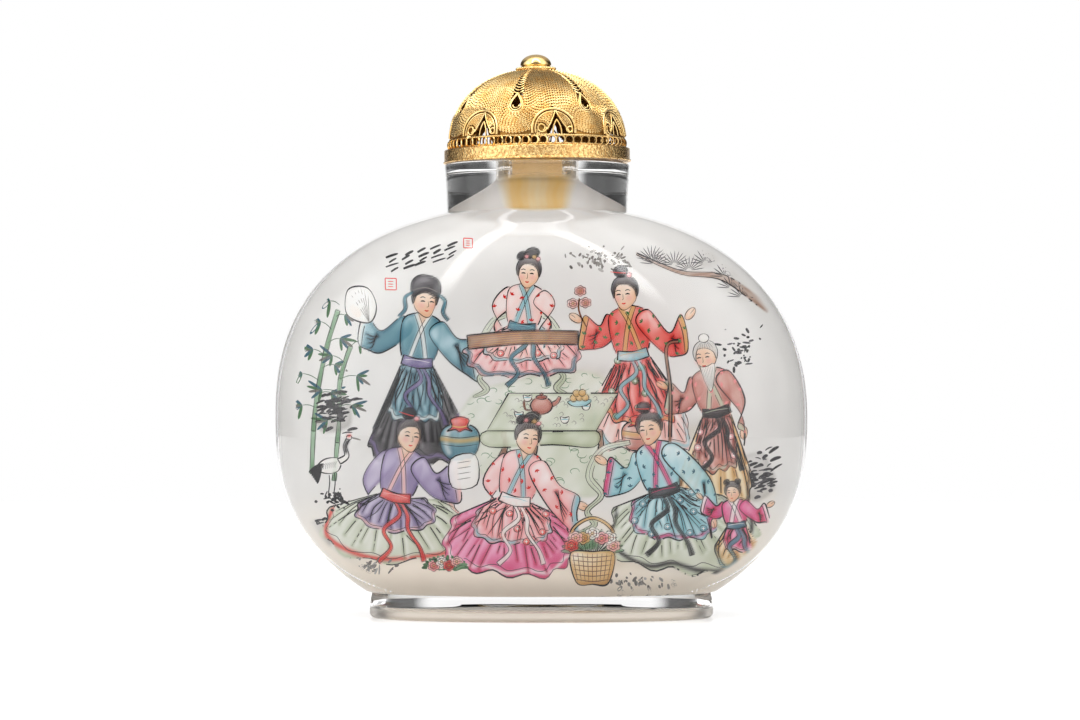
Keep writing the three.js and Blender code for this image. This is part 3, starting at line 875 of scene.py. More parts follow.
@dataclass(frozen=True)
class RobedFigure:
    """A calm figure in wide robes. Its joints are measured from the middle of its waist."""

    waist: Place
    head: Place
    hem: tuple[Place, ...]
    back_arm: Arm
    front_arm: Arm
    dress: Dress
    hair: Hair
    gaze: float = 0.5
    size: float = 1.3
    folds: int = 14
    tunic: float = 0.6
    scarf: Pigment | None = None

    def at(self, place: Place | np.ndarray) -> np.ndarray:
        """A place on the sheet from one measured from the waist."""
        return np.array(self.waist) + self.size * np.asarray(place, float)

    @property
    def lean(self) -> np.ndarray:
        """Direction from the waist to the head."""
        return unit(np.array(self.head, float))

    @property
    def right(self) -> np.ndarray:
        """Direction across the body, to its right in the picture."""
        return np.array([self.lean[1], -self.lean[0]])

    def paint(self, sheet: PaintedSheet) -> None:
        """Paints the figure from its back to its front.

        Args:
            sheet: what it is painted on.
        """
        chest = np.array(self.head) * 0.62
        if self.scarf:
            self.ribbons(sheet)
        self.sleeve(sheet, self.back_arm, chest - 1.6 * self.right)
        self.skirt(sheet)
        self.torso(sheet, chest)
        self.belt(sheet)
        self.face(sheet)
        self.sleeve(sheet, self.front_arm, chest + 1.6 * self.right)

    def ribbons(self, sheet: PaintedSheet) -> None:
        """Paints a long scarf that floats behind the figure from hand to hand."""
        fall = ((0.6, 1.4), (1.9, -1.3), (0.6, -3.3), (2.1, -5.0), (1.3, -6.4), (2.8, -7.2))
        for side, arm in ((-1, self.back_arm), (1, self.front_arm)):
            x, z = arm.hand
            knots = [(0.6 * x, z + 2.2)] + [(x + across * side, z + up) for across, up in fall]
            sheet.area(ribbon(self.at(knots), 0.3, 0.42, 0.5, 0.28, 0.45, 0.15), self.scarf, 0.045)
            sheet.ink(self.at(knots), 0.03, depth=0.6)

    def sleeve(self, sheet: PaintedSheet, arm: Arm, shoulder: np.ndarray) -> None:
        """Paints a wide sleeve that hangs from the forearm, its lining and the hand."""
        elbow, hand = np.array(arm.elbow), np.array(arm.hand)
        along = unit(hand - elbow)
        up = np.array([-along[1], along[0]]) * (1 if along[0] >= 0 else -1)
        first = unit(elbow - shoulder)
        outer = np.array([-first[1], first[0]]) * (1 if first[0] >= 0 else -1)
        drop = np.array([0.35 * along[0], -1.25 * arm.droop])
        knots = [
            shoulder + 0.8 * outer, elbow + 1.0 * (outer + up) / 2, hand + 0.75 * up, hand + 0.3 * drop,
            hand + drop, (elbow + hand) / 2 + 0.85 * drop, elbow - 0.9 * outer + 0.25 * drop,
            shoulder - 1.1 * outer,
        ]
        fingers = self.at(hand + 0.75 * along)
        palm = oval(fingers, 0.75 * self.size, 0.42 * self.size, math.atan2(along[1], along[0]))
        sheet.area(palm, Pigment.SKIN, 0.04, depth=1.1)
        tip = self.at(hand + 1.5 * along)
        sheet.ink([fingers, (fingers + tip) / 2 + 0.06, tip], 0.035, Pigment.BROWN)
        outline = sheet.area(smooth_line(self.at(knots), closed=True), self.dress.robe, depth=1.05)
        self.sprigs(sheet, outline)
        cuff = self.at([hand + 0.75 * up, hand + 0.3 * drop - 0.15 * along, hand + drop])
        sheet.streak(cuff, 0.42 * self.size, self.dress.lining, 0.95, within=outline)
        sheet.ink(cuff - 0.45 * self.size * along, 0.055, within=outline)
        for share in (0.2, 0.4, 0.6, 0.85):
            start = self.at(elbow + 0.5 * share * outer + 0.2 * along * share)
            end = self.at(hand + drop * (0.25 + 0.6 * share) - (0.8 + share) * along)
            sag = (start + end) / 2 + np.array([0, -0.55 * share * self.size])
            sheet.streak([start, sag, end], 0.2, self.dress.robe, 0.5, depth=2.2, within=outline)
            sheet.ink([start, sag, end], 0.065, depth=1.1, within=outline)

    def skirt(self, sheet: PaintedSheet) -> None:
        """Paints the skirt with its folds, its hem band and its pattern."""
        if self.tunic < 1:
            self.flare(sheet, 1.0, self.dress.skirt, self.dress.sash)
        outline = self.flare(sheet, self.tunic, self.dress.robe, self.dress.lining)
        if self.dress.dots:
            self.pattern(sheet, outline)

    def flare(self, sheet: PaintedSheet, reach: float, cloth: Pigment, border: Pigment) -> np.ndarray:
        """Paints cloth that spreads from the waist, with a wavy edge, a narrow border and folds.

        Args:
            sheet: what it is painted on.
            reach: how far down it comes, as a share of the way to the hem.
            cloth: its paint.
            border: paint of its border.

        Returns:
            Its outline.
        """
        left, right = self.at(-1.5 * self.right), self.at(1.5 * self.right)
        middle = self.at((0, 0))
        edge = smooth_line(self.at(self.hem), steps=12)
        share = np.linspace(0, 1, len(edge))
        phase = share * math.pi * self.folds
        wave = np.sin(phase) + 0.6 * np.sin(phase * 0.37 + 2 * reach)
        edge = middle + (edge - middle) * (reach * (1 + 0.035 * wave))[:, None]
        left_side, right_side = smooth_line([left, edge[0]])[:-1], smooth_line([edge[-1], right])[1:]
        outline = np.concatenate([left_side, edge, right_side])
        sheet.area(outline, cloth)
        inner = middle + (edge - middle) * 0.955
        sheet.streak(inner[::4], 0.26, border, 0.85, within=outline)
        sheet.ink(middle + (edge[::2] - middle) * 0.92, 0.04, within=outline)
        count = self.folds * 3 // 2
        for k in range(count):
            share = (k + 0.5 + sheet.random.uniform(-0.25, 0.25)) / count
            top = left + (right - left) * share
            end = edge[int(share * (len(edge) - 1))]
            end = end + (top - end) * sheet.random.uniform(0.0, 0.3)
            start = top + (end - top) * sheet.random.uniform(0.0, 0.25)
            bend = (start + end) / 2 + sheet.random.normal(0, 0.5, 2) + [0, 0.4]
            fold = [start, bend, end]
            sheet.streak(fold, sheet.random.uniform(0.14, 0.34), cloth, 0.55, depth=2.0, within=outline)
            sheet.ink(fold, sheet.random.uniform(0.05, 0.095), depth=1.1, within=outline)
            light = [start + [0.35, 0], bend + [0.45, 0.1], end + [0.5, 0]]
            sheet.streak(light, 0.25, cloth, 0.6, depth=0.25, within=outline)
        return outline

    def sprigs(self, sheet: PaintedSheet, outline: np.ndarray) -> None:
        """Strews sprigs of three short strokes over an outline, no two close together."""
        if not self.dress.dots:
            return
        places = sheet.random.uniform(outline.min(0), outline.max(0), (70, 2))
        places = places[inside_outline(places, outline)]
        kept: list[np.ndarray] = []
        for place in places:
            if all(np.hypot(*(place - other)) > 1.3 for other in kept):
                kept.append(place)
                turn = sheet.random.uniform(0, FULL_TURN)
                for angle in turn + np.array([0, 0.9, 1.8]):
                    tip = place + 0.42 * np.array([math.cos(angle), math.sin(angle)])
                    sheet.ink([place, tip], 0.09, self.dress.dots, ends=(0.6, 0.3), depth=1.2, within=outline)

    def pattern(self, sheet: PaintedSheet, outline: np.ndarray) -> None:
        """Strews small round blossoms over an outline, no two close together."""
        places = sheet.random.uniform(outline.min(0), outline.max(0), (60, 2))
        places = places[inside_outline(places, outline)]
        kept: list[np.ndarray] = []
        for place in places:
            if all(np.hypot(*(place - other)) > 1.9 for other in kept):
                kept.append(place)
                sheet.area(oval(place, 0.5, 0.46, sides=10), self.dress.dots, 0.04, pool=0)
                sheet.ink([place - [0.25, 0], place + [0.25, 0]], 0.05, Pigment.WHITE)
                sheet.ink([place - [0, 0.25], place + [0, 0.25]], 0.05, Pigment.WHITE)

    def torso(self, sheet: PaintedSheet, chest: np.ndarray) -> None:
        """Paints the upper robe with its crossed collar."""
        neck = np.array(self.head) * 0.8
        knots = [chest - 2.1 * self.right, neck - 0.75 * self.right, neck + 0.75 * self.right,
                 chest + 2.1 * self.right, 1.5 * self.right, -1.5 * self.right]
        outline = sheet.area(smooth_line(self.at(knots), closed=True), self.dress.robe)
        self.sprigs(sheet, outline)
        skin = self.at([neck - 0.5 * self.right, neck + 0.5 * self.right, chest - 0.3 * self.lean])
        sheet.wash(smooth_line(skin, closed=True), Pigment.SKIN, depth=1.2)
        for side in (-1, 1):
            fall = self.at([neck + 0.75 * side * self.right, chest * 0.8 - 0.1 * side * self.right,
                            -0.9 * side * self.right])
            sheet.streak(fall, 0.3, self.dress.lining, 0.95, within=outline)
            sheet.ink(fall + [0.3, 0], 0.04)
            sheet.ink(fall - [0.3, 0], 0.04)

    def belt(self, sheet: PaintedSheet) -> None:
        """Paints the sash and its two hanging ends."""
        band = ribbon(self.at([-1.6 * self.right, -0.25 * self.lean, 1.6 * self.right]), 0.5 * self.size)
        for k in (-1, 1):
            end = [(0.3 * k, -0.3), (0.4 * k + 0.8, -2.0), (1.3 * k, -3.6), (1.5 * k + 1.0, -5.4),
                   (2.4 * k + 0.6, -6.8)]
            sheet.area(ribbon(self.at(end), 0.15, 0.3, 0.2, 0.34), self.dress.sash, 0.04, depth=1.1)
        sheet.area(band, self.dress.sash, depth=1.1)
        sheet.ink(self.at([-1.4 * self.right, 0.1 * self.lean, 1.4 * self.right]), 0.035, self.dress.lining)

    def face(self, sheet: PaintedSheet) -> None:
        """Paints a head with a calm, plain face: eyes half-way up, the nose to half of the rest."""
        middle, size = self.at(self.head), self.size
        tilt = math.atan2(-self.lean[0], self.lean[1]) * 0.6
        cos, sin = math.cos(tilt), math.sin(tilt)
        turn = np.array([[cos, sin], [-sin, cos]])

        def spot(places: Knots) -> np.ndarray:
            """Places on the sheet from places on the head."""
            return middle + size * np.asarray(places, float) @ turn

        shift = 0.38 * self.gaze
        jaw = spot([(0, 1.6), (-0.95, 1.25), (-1.22, 0.3), (-0.95, -0.75), (-0.3 + shift, -1.5),
                    (0.35 + shift, -1.48), (1.0, -0.7), (1.22, 0.3), (0.95, 1.25)])
        sheet.area(smooth_line(jaw, closed=True), Pigment.SKIN, 0.04, pool=0.3, opacity=0.97)
        for side in (-1, 1):
            cheek = [(shift + 0.55 * side, -0.4), (shift + 0.65 * side, -0.35)]
            sheet.streak(spot(cheek), 0.32 * size, Pigment.ROSE, 0.4)
            brow = [(shift + 0.22 * side, 0.42), (shift + 0.5 * side, 0.52), (shift + 0.8 * side, 0.4)]
            eye = [(shift + 0.24 * side, 0.05), (shift + 0.48 * side, 0.1), (shift + 0.72 * side, 0.03)]
            sheet.ink(spot(brow), 0.045 * size, depth=0.7)
            sheet.ink(spot(eye), 0.07 * size)
        nose = [(1.25 * shift + 0.02, 0.1), (1.4 * shift + 0.06, -0.42), (1.2 * shift - 0.12, -0.5)]
        sheet.ink(spot(nose), 0.03 * size, Pigment.BROWN)
        mouth = [(shift - 0.22, -0.86), (shift, -0.92), (shift + 0.22, -0.85)]
        sheet.ink(spot(mouth), 0.07 * size, Pigment.RED)
        self.hairdo(sheet, spot, shift)

    def hairdo(self, sheet: PaintedSheet, spot: Callable[[Knots], np.ndarray], shift: float) -> None:
        """Paints the hair or cap in the way that the figure wears it."""
        def bun(place: Place, wide: float, high: float, pigment: Pigment = Pigment.BLACK, tilt: float = 0,
                line: float = 0.04) -> None:
            """Paints a round knot of hair, or a small flower in it."""
            sheet.area(oval(spot([place])[0], wide * self.size, high * self.size, tilt), pigment, line)

        white = self.hair is Hair.WHITE
        colour = Pigment.MIST if white else Pigment.BLACK
        crown = [(-1.2, -0.25), (-1.42, 0.7), (-1.0, 1.65), (0, 2.02), (1.0, 1.65), (1.42, 0.7), (1.2, -0.25)]
        crown += [(1.0 + 0.2 * shift, 0.55), (0.45 + shift, 1.08), (-0.45 + shift, 1.08)]
        crown += [(-1.0 + 0.2 * shift, 0.55)]
        sheet.area(smooth_line(spot(crown), closed=True), colour, 0.04, depth=0.85, pool=0.2)
        for k in np.linspace(-0.8, 0.8, 7):
            strand = spot([(0.25 * k, 1.95), (0.8 * k, 1.5), (1.2 * k, 0.95)])
            sheet.ink(strand, 0.025, Pigment.GREY, depth=1.5 if white else 0.9)
        if white:
            beard = spot([(-0.8, -0.8), (-0.35 + shift, -0.98), (0.35 + shift, -0.98), (0.85, -0.8),
                          (0.7, -2.4), (0.15, -3.9), (-0.45, -2.6)])
            sheet.area(smooth_line(beard, closed=True), Pigment.WHITE, 0.035)
            for k in np.linspace(-0.6, 0.6, 7):
                strand = spot([(k, -1.05), (0.8 * k + 0.1, -2.2), (0.15 + 0.25 * k, -3.6)])
                sheet.ink(strand, 0.025, Pigment.GREY)
            bun((0, 2.25), 0.6, 0.5, Pigment.WHITE)
        if self.hair is Hair.KNOT:
            bun((-0.3, 2.45), 0.75, 0.62)
            sheet.ink(spot([(-1.4, 2.5), (-0.3, 2.3), (0.9, 2.2)]), 0.06, Pigment.RED)
            bun((0.55, 2.0), 0.3, 0.26, Pigment.ROSE, line=0.03)
        if self.hair is Hair.TWIN:
            for side in (-1, 1):
                bun((0.95 * side, 1.9), 0.5, 0.5)
        if self.hair is Hair.LOOPS:
            bun((-0.9, 2.0), 0.6, 0.42, tilt=0.6)
            bun((0.25, 2.35), 0.85, 0.6, tilt=0.2)
            sheet.ink(spot([(-0.5, 2.5), (0.25, 2.75), (0.95, 2.4)]), 0.04, Pigment.GREY)
            flowers = {(0.95, 1.75): Pigment.ROSE, (0.5, 1.95): Pigment.OCHRE, (-0.35, 1.95): Pigment.ROSE}
            for place, pigment in flowers.items():
                bun(place, 0.27, 0.24, pigment, line=0.03)
        if self.hair is Hair.CAP:
            cap = spot([(-1.35, 0.55), (-1.5, 2.0), (-0.6, 2.75), (0.9, 2.6), (1.55, 1.8), (1.35, 0.55),
                        (0, 1.0)])
            sheet.area(smooth_line(cap, closed=True), Pigment.BLACK, 0.05, depth=0.8)
            sheet.ink(spot([(-1.4, 1.1), (0, 1.5), (1.45, 1.1)]), 0.05, Pigment.GREY)
            for side in (-1, 1):
                tail = spot([(1.3 * side, 0.9), (2.1 * side, 0.3), (2.0 * side, -0.9), (2.6 * side, -1.7)])
                sheet.area(ribbon(tail, 0.12, 0.25, 0.2), Pigment.TEAL, 0.03)


# The garden round them


def uneven_oval(sheet: PaintedSheet, middle: Place, size: Place, corners: int,
                reach: tuple[float, float]) -> np.ndarray:
    """Outline of a rough ellipse: each corner lies out by its own share of the radius.

    Args:
        sheet: whose random numbers pick the shares.
        middle: the middle.
        size: half-width and half-height.
        corners: number of corners.
        reach: least and greatest share.

    Returns:
        The outline's points.
    """
    angle = np.arange(corners) * FULL_TURN / corners
    shares = sheet.random.uniform(*reach, corners)
    knots = np.stack([size[0] * shares * np.cos(angle), size[1] * shares * np.sin(angle)], -1)
    return smooth_line(knots + middle, closed=True)


@dataclass(frozen=True)
class Rock:
    """A dark garden rock in broken strokes of ink."""

    middle: Place
    half_width: float
    half_height: float
    strokes: int = 70

    def paint(self, sheet: PaintedSheet) -> None:
        """Paints a rough grey outline, then dark slanting strokes that thin out upwards."""
        size = (self.half_width, self.half_height)
        outline = uneven_oval(sheet, self.middle, size, 11, (0.75, 1.15))
        sheet.wash(outline, Pigment.GREY, opacity=0.5, edge=0.5)
        for place in sheet.random.normal(0, 0.45, (self.strokes, 2)) * size + self.middle:
            length = sheet.random.uniform(0.5, 1.6)
            slope = sheet.random.normal(0.25, 0.2)
            end = place + [length, slope * length]
            thick = sheet.random.uniform(0.08, 0.26)
            stroke = [place, (place + end) / 2 + [0, 0.1], end]
            sheet.ink(stroke, thick, depth=sheet.random.uniform(0.5, 1.1))


@dataclass(frozen=True)
class Foliage:
    """A cloud of small leaves, each one dab of thin ink."""

    middle: Place
    half_width: float
    half_height: float
    dabs: int = 60
    pigment: Pigment = Pigment.GREY

    def paint(self, sheet: PaintedSheet) -> None:
        """Strews the dabs, closer in the middle."""
        spread = sheet.random.normal(0, 0.5, (self.dabs, 2)) * [self.half_width, self.half_height]
        for place in spread + self.middle:
            end = place + sheet.random.normal(0, 0.35, 2) + [0.3, -0.1]
            depth = sheet.random.uniform(0.5, 1.6)
            stroke = [place, (place + end) / 2, end]
            sheet.ink(stroke, sheet.random.uniform(0.08, 0.2), self.pigment, depth=depth)


@dataclass(frozen=True)
class PineBranch:
    """A leaning pine branch with fans of needles."""

    knots: tuple[Place, ...]
    tufts: int = 9

    def paint(self, sheet: PaintedSheet) -> None:
        """Paints the bark, then the fans."""
        sheet.area(ribbon(self.knots, 0.45, 0.3, 0.12), Pigment.BROWN, 0.05, depth=0.7)
        line = smooth_line(self.knots)
        for k in range(self.tufts):
            share = (k + 0.5) / self.tufts
            middle = line[int(share * (len(line) - 1))] + sheet.random.normal(0, 0.9, 2) + [0, 0.6]
            sheet.wash(oval(middle + [0, 0.7], 1.9, 1.1), Pigment.MIST, opacity=0.35, edge=0.6, pool=0)
            for angle in np.linspace(0.04, 0.96, 11) * math.pi:
                way = np.array([math.cos(angle), 0.85 * math.sin(angle)])
                knots = [middle + 0.35 * way, middle + 1.2 * way, middle + 2.1 * way]
                sheet.ink(knots, 0.055, Pigment.BLACK, depth=0.5, steps=2)


@dataclass(frozen=True)
class Bamboo:
    """A jointed bamboo stalk with slender leaves."""

    knots: tuple[Place, ...]
    clusters: int = 8

    def paint(self, sheet: PaintedSheet) -> None:
        """Paints the stalk joint by joint, then its leaves in clusters that hang."""
        line = smooth_line(self.knots, steps=9)
        for start in range(0, len(line) - 6, 6):
            sheet.area(ribbon(line[start : start + 7 : 2], 0.3, 0.24, 0.3), Pigment.GREEN, 0.04, depth=0.8)
        for k in range(self.clusters):
            stem = line[int((0.35 + 0.65 * k / self.clusters) * (len(line) - 1))]
            side = 1 if k % 2 else -1
            tip = stem + [side * sheet.random.uniform(1.2, 2.4), sheet.random.uniform(0.2, 1.0)]
            sheet.ink([stem, (stem + tip) / 2 + [0, 0.2], tip], 0.05, Pigment.GREEN, depth=1.6)
            for leaf in range(5):
                angle = math.radians(-95 + side * (15 + 26 * leaf) + sheet.random.uniform(-8, 8))
                end = tip + sheet.random.uniform(1.4, 2.3) * np.array([math.cos(angle), math.sin(angle)])
                pigment = (Pigment.GREEN, Pigment.TEAL, Pigment.GREY)[leaf % 3]
                sheet.ink([tip, (tip + end) / 2, end], 0.2, pigment, ends=(0.25, 0.05), depth=1.3)


@dataclass(frozen=True)
class WineJar:
    """A round jar with a tied cloth over its mouth."""

    middle: Place
    size: float = 1.0
    pigment: Pigment = Pigment.TEAL

    def paint(self, sheet: PaintedSheet) -> None:
        """Paints the body with a pale band, the cloth and its cord."""
        def spots(places: Knots) -> np.ndarray:
            """Places on the sheet from places round the jar's middle."""
            return np.asarray(places, float) * self.size + self.middle

        body = spots([(-1.3, 2.0), (-2.5, 0.9), (-2.4, -1.1), (-1.4, -2.4), (0, -2.6), (1.4, -2.4),
                      (2.4, -1.1), (2.5, 0.9), (1.3, 2.0)])
        outline = sheet.area(smooth_line(body, closed=True), self.pigment, depth=1.1)
        glint = spots([(-1.5, 1.1), (-1.8, -0.4), (-1.4, -1.6)])
        sheet.streak(glint, 0.4, Pigment.WHITE, 0.6, within=outline)
        sheet.streak(spots([(-2.4, 0.2), (0, -0.1), (2.4, 0.2)]), 0.35, Pigment.OCHRE, 0.8, within=outline)
        for z in (0.6, -0.5):
            sheet.ink(spots([(-2.4, z), (0, z - 0.3), (2.4, z)]), 0.045)
        cloth = spots([(-1.0, 1.8), (-1.6, 1.2), (-0.6, 1.4), (0, 1.1), (0.7, 1.4), (1.6, 1.2), (1.0, 1.8),
                       (1.2, 2.7), (0, 3.1), (-1.2, 2.7)])
        sheet.area(smooth_line(cloth, closed=True), Pigment.RED, depth=1.1)
        sheet.ink(spots([(-1.1, 1.9), (0, 1.7), (1.1, 1.9)]), 0.09, Pigment.OCHRE)


@dataclass(frozen=True)
class FlowerClump:
    """Round flowers on a low cushion of leaves."""

    middle: Place
    half_width: float
    pigments: tuple[Pigment, ...]

    def paint(self, sheet: PaintedSheet) -> None:
        """Paints pointed leaves in a fan, then the flowers in a row over them."""
        middle = np.array(self.middle)
        for k in range(14):
            angle = math.pi * (k + 0.5) / 14
            start = middle + [0.5 * self.half_width * math.cos(angle), -0.6]
            tip = middle + [1.25 * self.half_width * math.cos(angle), 1.9 * math.sin(angle) - 0.5]
            leaf = [start, (start + tip) / 2 + [0, 0.25], tip]
            sheet.ink(leaf, 0.26, Pigment.GREEN, ends=(0.5, 0.05), depth=sheet.random.uniform(0.8, 1.7))
        for k, pigment in enumerate(self.pigments):
            share = (k + 0.5) / len(self.pigments) * 2 - 1
            place = (self.middle[0] + 0.8 * self.half_width * share, self.middle[1] + 0.5 * (k % 2))
            Blossom(place, 0.85, pigment).paint(sheet)


@dataclass(frozen=True)
class Blossom:
    """A round flower of layered petals."""

    middle: Place
    radius: float
    pigment: Pigment

    def paint(self, sheet: PaintedSheet) -> None:
        """Paints two layers of scalloped petals round a yellow middle."""
        for share, depth in ((1.0, 1.0), (0.62, 1.5)):
            angle = np.arange(36) * FULL_TURN / 36
            reach = self.radius * share * (0.8 + 0.2 * np.abs(np.sin(3 * angle)))
            outline = np.stack([reach * np.cos(angle), 0.85 * reach * np.sin(angle)], -1) + self.middle
            sheet.area(outline, self.pigment, 0.035, depth=depth, opacity=0.95)
            for turn in np.arange(6) * FULL_TURN / 6:
                way = np.array([math.cos(turn), 0.85 * math.sin(turn)]) * self.radius * share
                vein = [self.middle + out * way for out in (0.35, 0.6, 0.78)]
                sheet.ink(vein, 0.03, Pigment.CLAY)
        sheet.area(oval(self.middle, 0.2 * self.radius, 0.18 * self.radius, sides=8), Pigment.OCHRE, 0.03)


@dataclass(frozen=True)
class FlowerBasket:
    """A woven basket full of flowers, with a high handle."""

    middle: Place
    half_width: float = 3.0
    height: float = 3.6

    def paint(self, sheet: PaintedSheet) -> None:
        """Paints the handle, leaves, flowers and then the weave."""
        x, z = self.middle
        wide, high = self.half_width, self.height
        handle = [(x + across * wide, z + up)
                  for across, up in ((-1, 0), (-0.9, 3.2), (0, 4.8), (0.9, 3.2), (1, 0))]
        sheet.area(ribbon(handle, 0.2), Pigment.OCHRE, depth=1.3)
        for k in range(16):
            angle = math.pi * (k + 0.5) / 16
            tip = np.array([x, z]) + np.array([1.45 * wide * math.cos(angle), 3.4 * math.sin(angle)])
            start = np.array([x + 0.5 * wide * math.cos(angle), z + 0.4])
            side = np.array([0.35, 0.35])
            leaf = smooth_line([start, (start + tip) / 2 + side, tip, (start + tip) / 2 - side], closed=True)
            sheet.area(leaf, Pigment.GREEN, 0.035, depth=sheet.random.uniform(0.6, 1.3))
        blooms = (Pigment.BLUSH, Pigment.WHITE, Pigment.ROSE, Pigment.WHITE, Pigment.OCHRE, Pigment.BLUSH,
                  Pigment.RED)
        for k, pigment in enumerate(blooms):
            angle = math.pi * (k + 0.5) / len(blooms)
            rise = 0.7 + 1.5 * math.sin(angle) + 0.5 * (k % 2)
            Blossom((x + 0.98 * wide * math.cos(angle), z + rise), 1.05, pigment).paint(sheet)
        body = smooth_line([(x - wide, z), (x, z + 0.25), (x + wide, z), (x + 0.75 * wide, z - high),
                            (x, z - high - 0.25), (x - 0.75 * wide, z - high)], closed=True)
        sheet.area(body, Pigment.OCHRE, depth=1.2)
        for k in range(9):
            share = (k + 0.5) / 9 * 2 - 1
            sheet.ink([(x + share * wide, z), (x + 0.9 * share * wide, z - high / 2),
                       (x + 0.75 * share * wide, z - high)], 0.05, Pigment.BROWN)
        for k in range(6):
            down = z - high * (k + 0.5) / 6
            reach = wide * (1 - 0.25 * (k + 0.5) / 6)
            sheet.ink([(x - reach, down), (x, down - 0.25), (x + reach, down)], 0.055, Pigment.BROWN)


@dataclass(frozen=True)
class FleeceMat:
    """A pale green mat on the grass, covered with little curls."""

    middle: Place
    half_width: float
    half_height: float
    curls: int = 150

    def paint(self, sheet: PaintedSheet) -> None:
        """Paints the mat with an uneven edge, then each curl as an open loop."""
        size = (self.half_width, self.half_height)
        outline = uneven_oval(sheet, self.middle, size, 16, (0.88, 1.08))
        sheet.wash(outline, Pigment.CELADON, opacity=0.75, edge=0.5, pool=0.4)
        places = sheet.random.uniform(-1, 1, (self.curls, 2)) * size + self.middle
        for place in places:
            turn = sheet.random.uniform(0, FULL_TURN) + np.linspace(0, 4.2, 5)
            curl = np.stack([0.55 * np.cos(turn), 0.36 * np.sin(turn)], -1) * sheet.random.uniform(0.7, 1.3)
            sheet.ink(curl + place, 0.045, Pigment.GREEN, depth=0.9, steps=3, within=outline)


@dataclass(frozen=True)
class TeaTable:
    """A low table under a pale cloth, with a pot, cups and a dish of fruit."""

    middle: Place
    half_width: float = 7.5
    depth: float = 2.6
    skew: float = 1.5

    def paint(self, sheet: PaintedSheet) -> None:
        """Paints the legs, the cloth's fall, the top and what stands on it."""
        x, z = self.middle
        wide, deep, skew = self.half_width, self.depth, self.skew
        for foot in (-0.9 * wide, -0.35 * wide, 0.85 * wide):
            leg = [(x + foot, z - deep), (x + foot + 0.3, z - deep - 2), (x + foot - 0.2, z - deep - 3.6)]
            sheet.area(ribbon(leg, 0.45, 0.3, 0.5), Pigment.BROWN)
        left, right = x - wide - skew, x + wide - skew
        fall = [(left, z - deep), (x, z - deep - 0.15), (right, z - deep), (right - 0.3, z - deep - 2.2),
                (x, z - deep - 1.9), (left + 0.3, z - deep - 2.2)]
        sheet.area(smooth_line(fall, closed=True, steps=5), Pigment.CELADON, depth=1.5)
        top = np.array([(x - wide + skew, z + deep), (x + wide + skew, z + deep),
                        (x + wide - skew, z - deep), (x - wide - skew, z - deep)])
        corners = np.concatenate([a + (b - a) * np.linspace(0, 1, 12, endpoint=False)[:, None]
                                  for a, b in zip(top, np.roll(top, -1, 0))])
        sheet.area(corners, Pigment.CELADON, opacity=0.95, shade=0.35)
        for k in range(46):
            spot = top[3] + (top[2] - top[3]) * sheet.random.uniform(0.05, 0.95)
            spot = spot + (top[0] - top[3]) * sheet.random.uniform(0.1, 0.9)
            curl = [spot, spot + [0.35, 0.25], spot + [0.6, -0.05], spot + [0.4, -0.25]]
            sheet.ink(curl, 0.035, Pigment.GREY, depth=1.0)
        self.pot(sheet, (x - 1.5, z + 0.9))
        for dx, dz in ((-4.6, -0.4), (1.7, -1.1), (4.6, 0.7), (-3.4, 1.9)):
            px, pz = x + dx, z + dz
            cup = [(px - 0.6, pz + 0.45), (px, pz + 0.3), (px + 0.6, pz + 0.45), (px + 0.35, pz - 0.35),
                   (px - 0.35, pz - 0.35)]
            sheet.area(smooth_line(cup, closed=True, steps=4), Pigment.WHITE, 0.05)
            sheet.ink([(px - 0.5, pz + 0.1), (px + 0.5, pz + 0.1)], 0.07, Pigment.SKY)
        dish = [(x + 2.2, z + 1.5), (x + 5.2, z + 1.7), (x + 4.6, z + 0.9), (x + 2.9, z + 0.8)]
        sheet.area(smooth_line(dish, closed=True), Pigment.SKY, 0.05)
        for dx, dz in ((2.9, 1.9), (3.7, 2.0), (4.5, 2.0), (3.3, 2.6), (4.1, 2.65)):
            sheet.area(oval((x + dx, z + dz), 0.5, 0.48, sides=12), Pigment.OCHRE, 0.04, depth=1.2)

    def pot(self, sheet: PaintedSheet, place: Place) -> None:
        """Paints a round clay pot with its spout, lid and handle."""
        x, z = place
        spout = [(x + 1.2, z), (x + 2.1, z + 0.5), (x + 2.5, z + 1.2)]
        sheet.area(ribbon(spout, 0.35, 0.18), Pigment.CLAY, 0.05)
        handle = [(x - 1.2, z + 0.9), (x - 2.3, z + 0.7), (x - 2.2, z - 0.5), (x - 1.3, z - 0.6)]
        sheet.ink(handle, 0.16, Pigment.BROWN)
        sheet.area(oval((x, z), 1.5, 1.2), Pigment.CLAY, depth=1.2)
        sheet.area(oval((x, z + 1.15), 0.75, 0.3), Pigment.CLAY, 0.05, depth=1.5)
        sheet.area(oval((x, z + 1.55), 0.22, 0.2, sides=8), Pigment.CLAY, 0.05, depth=1.5)


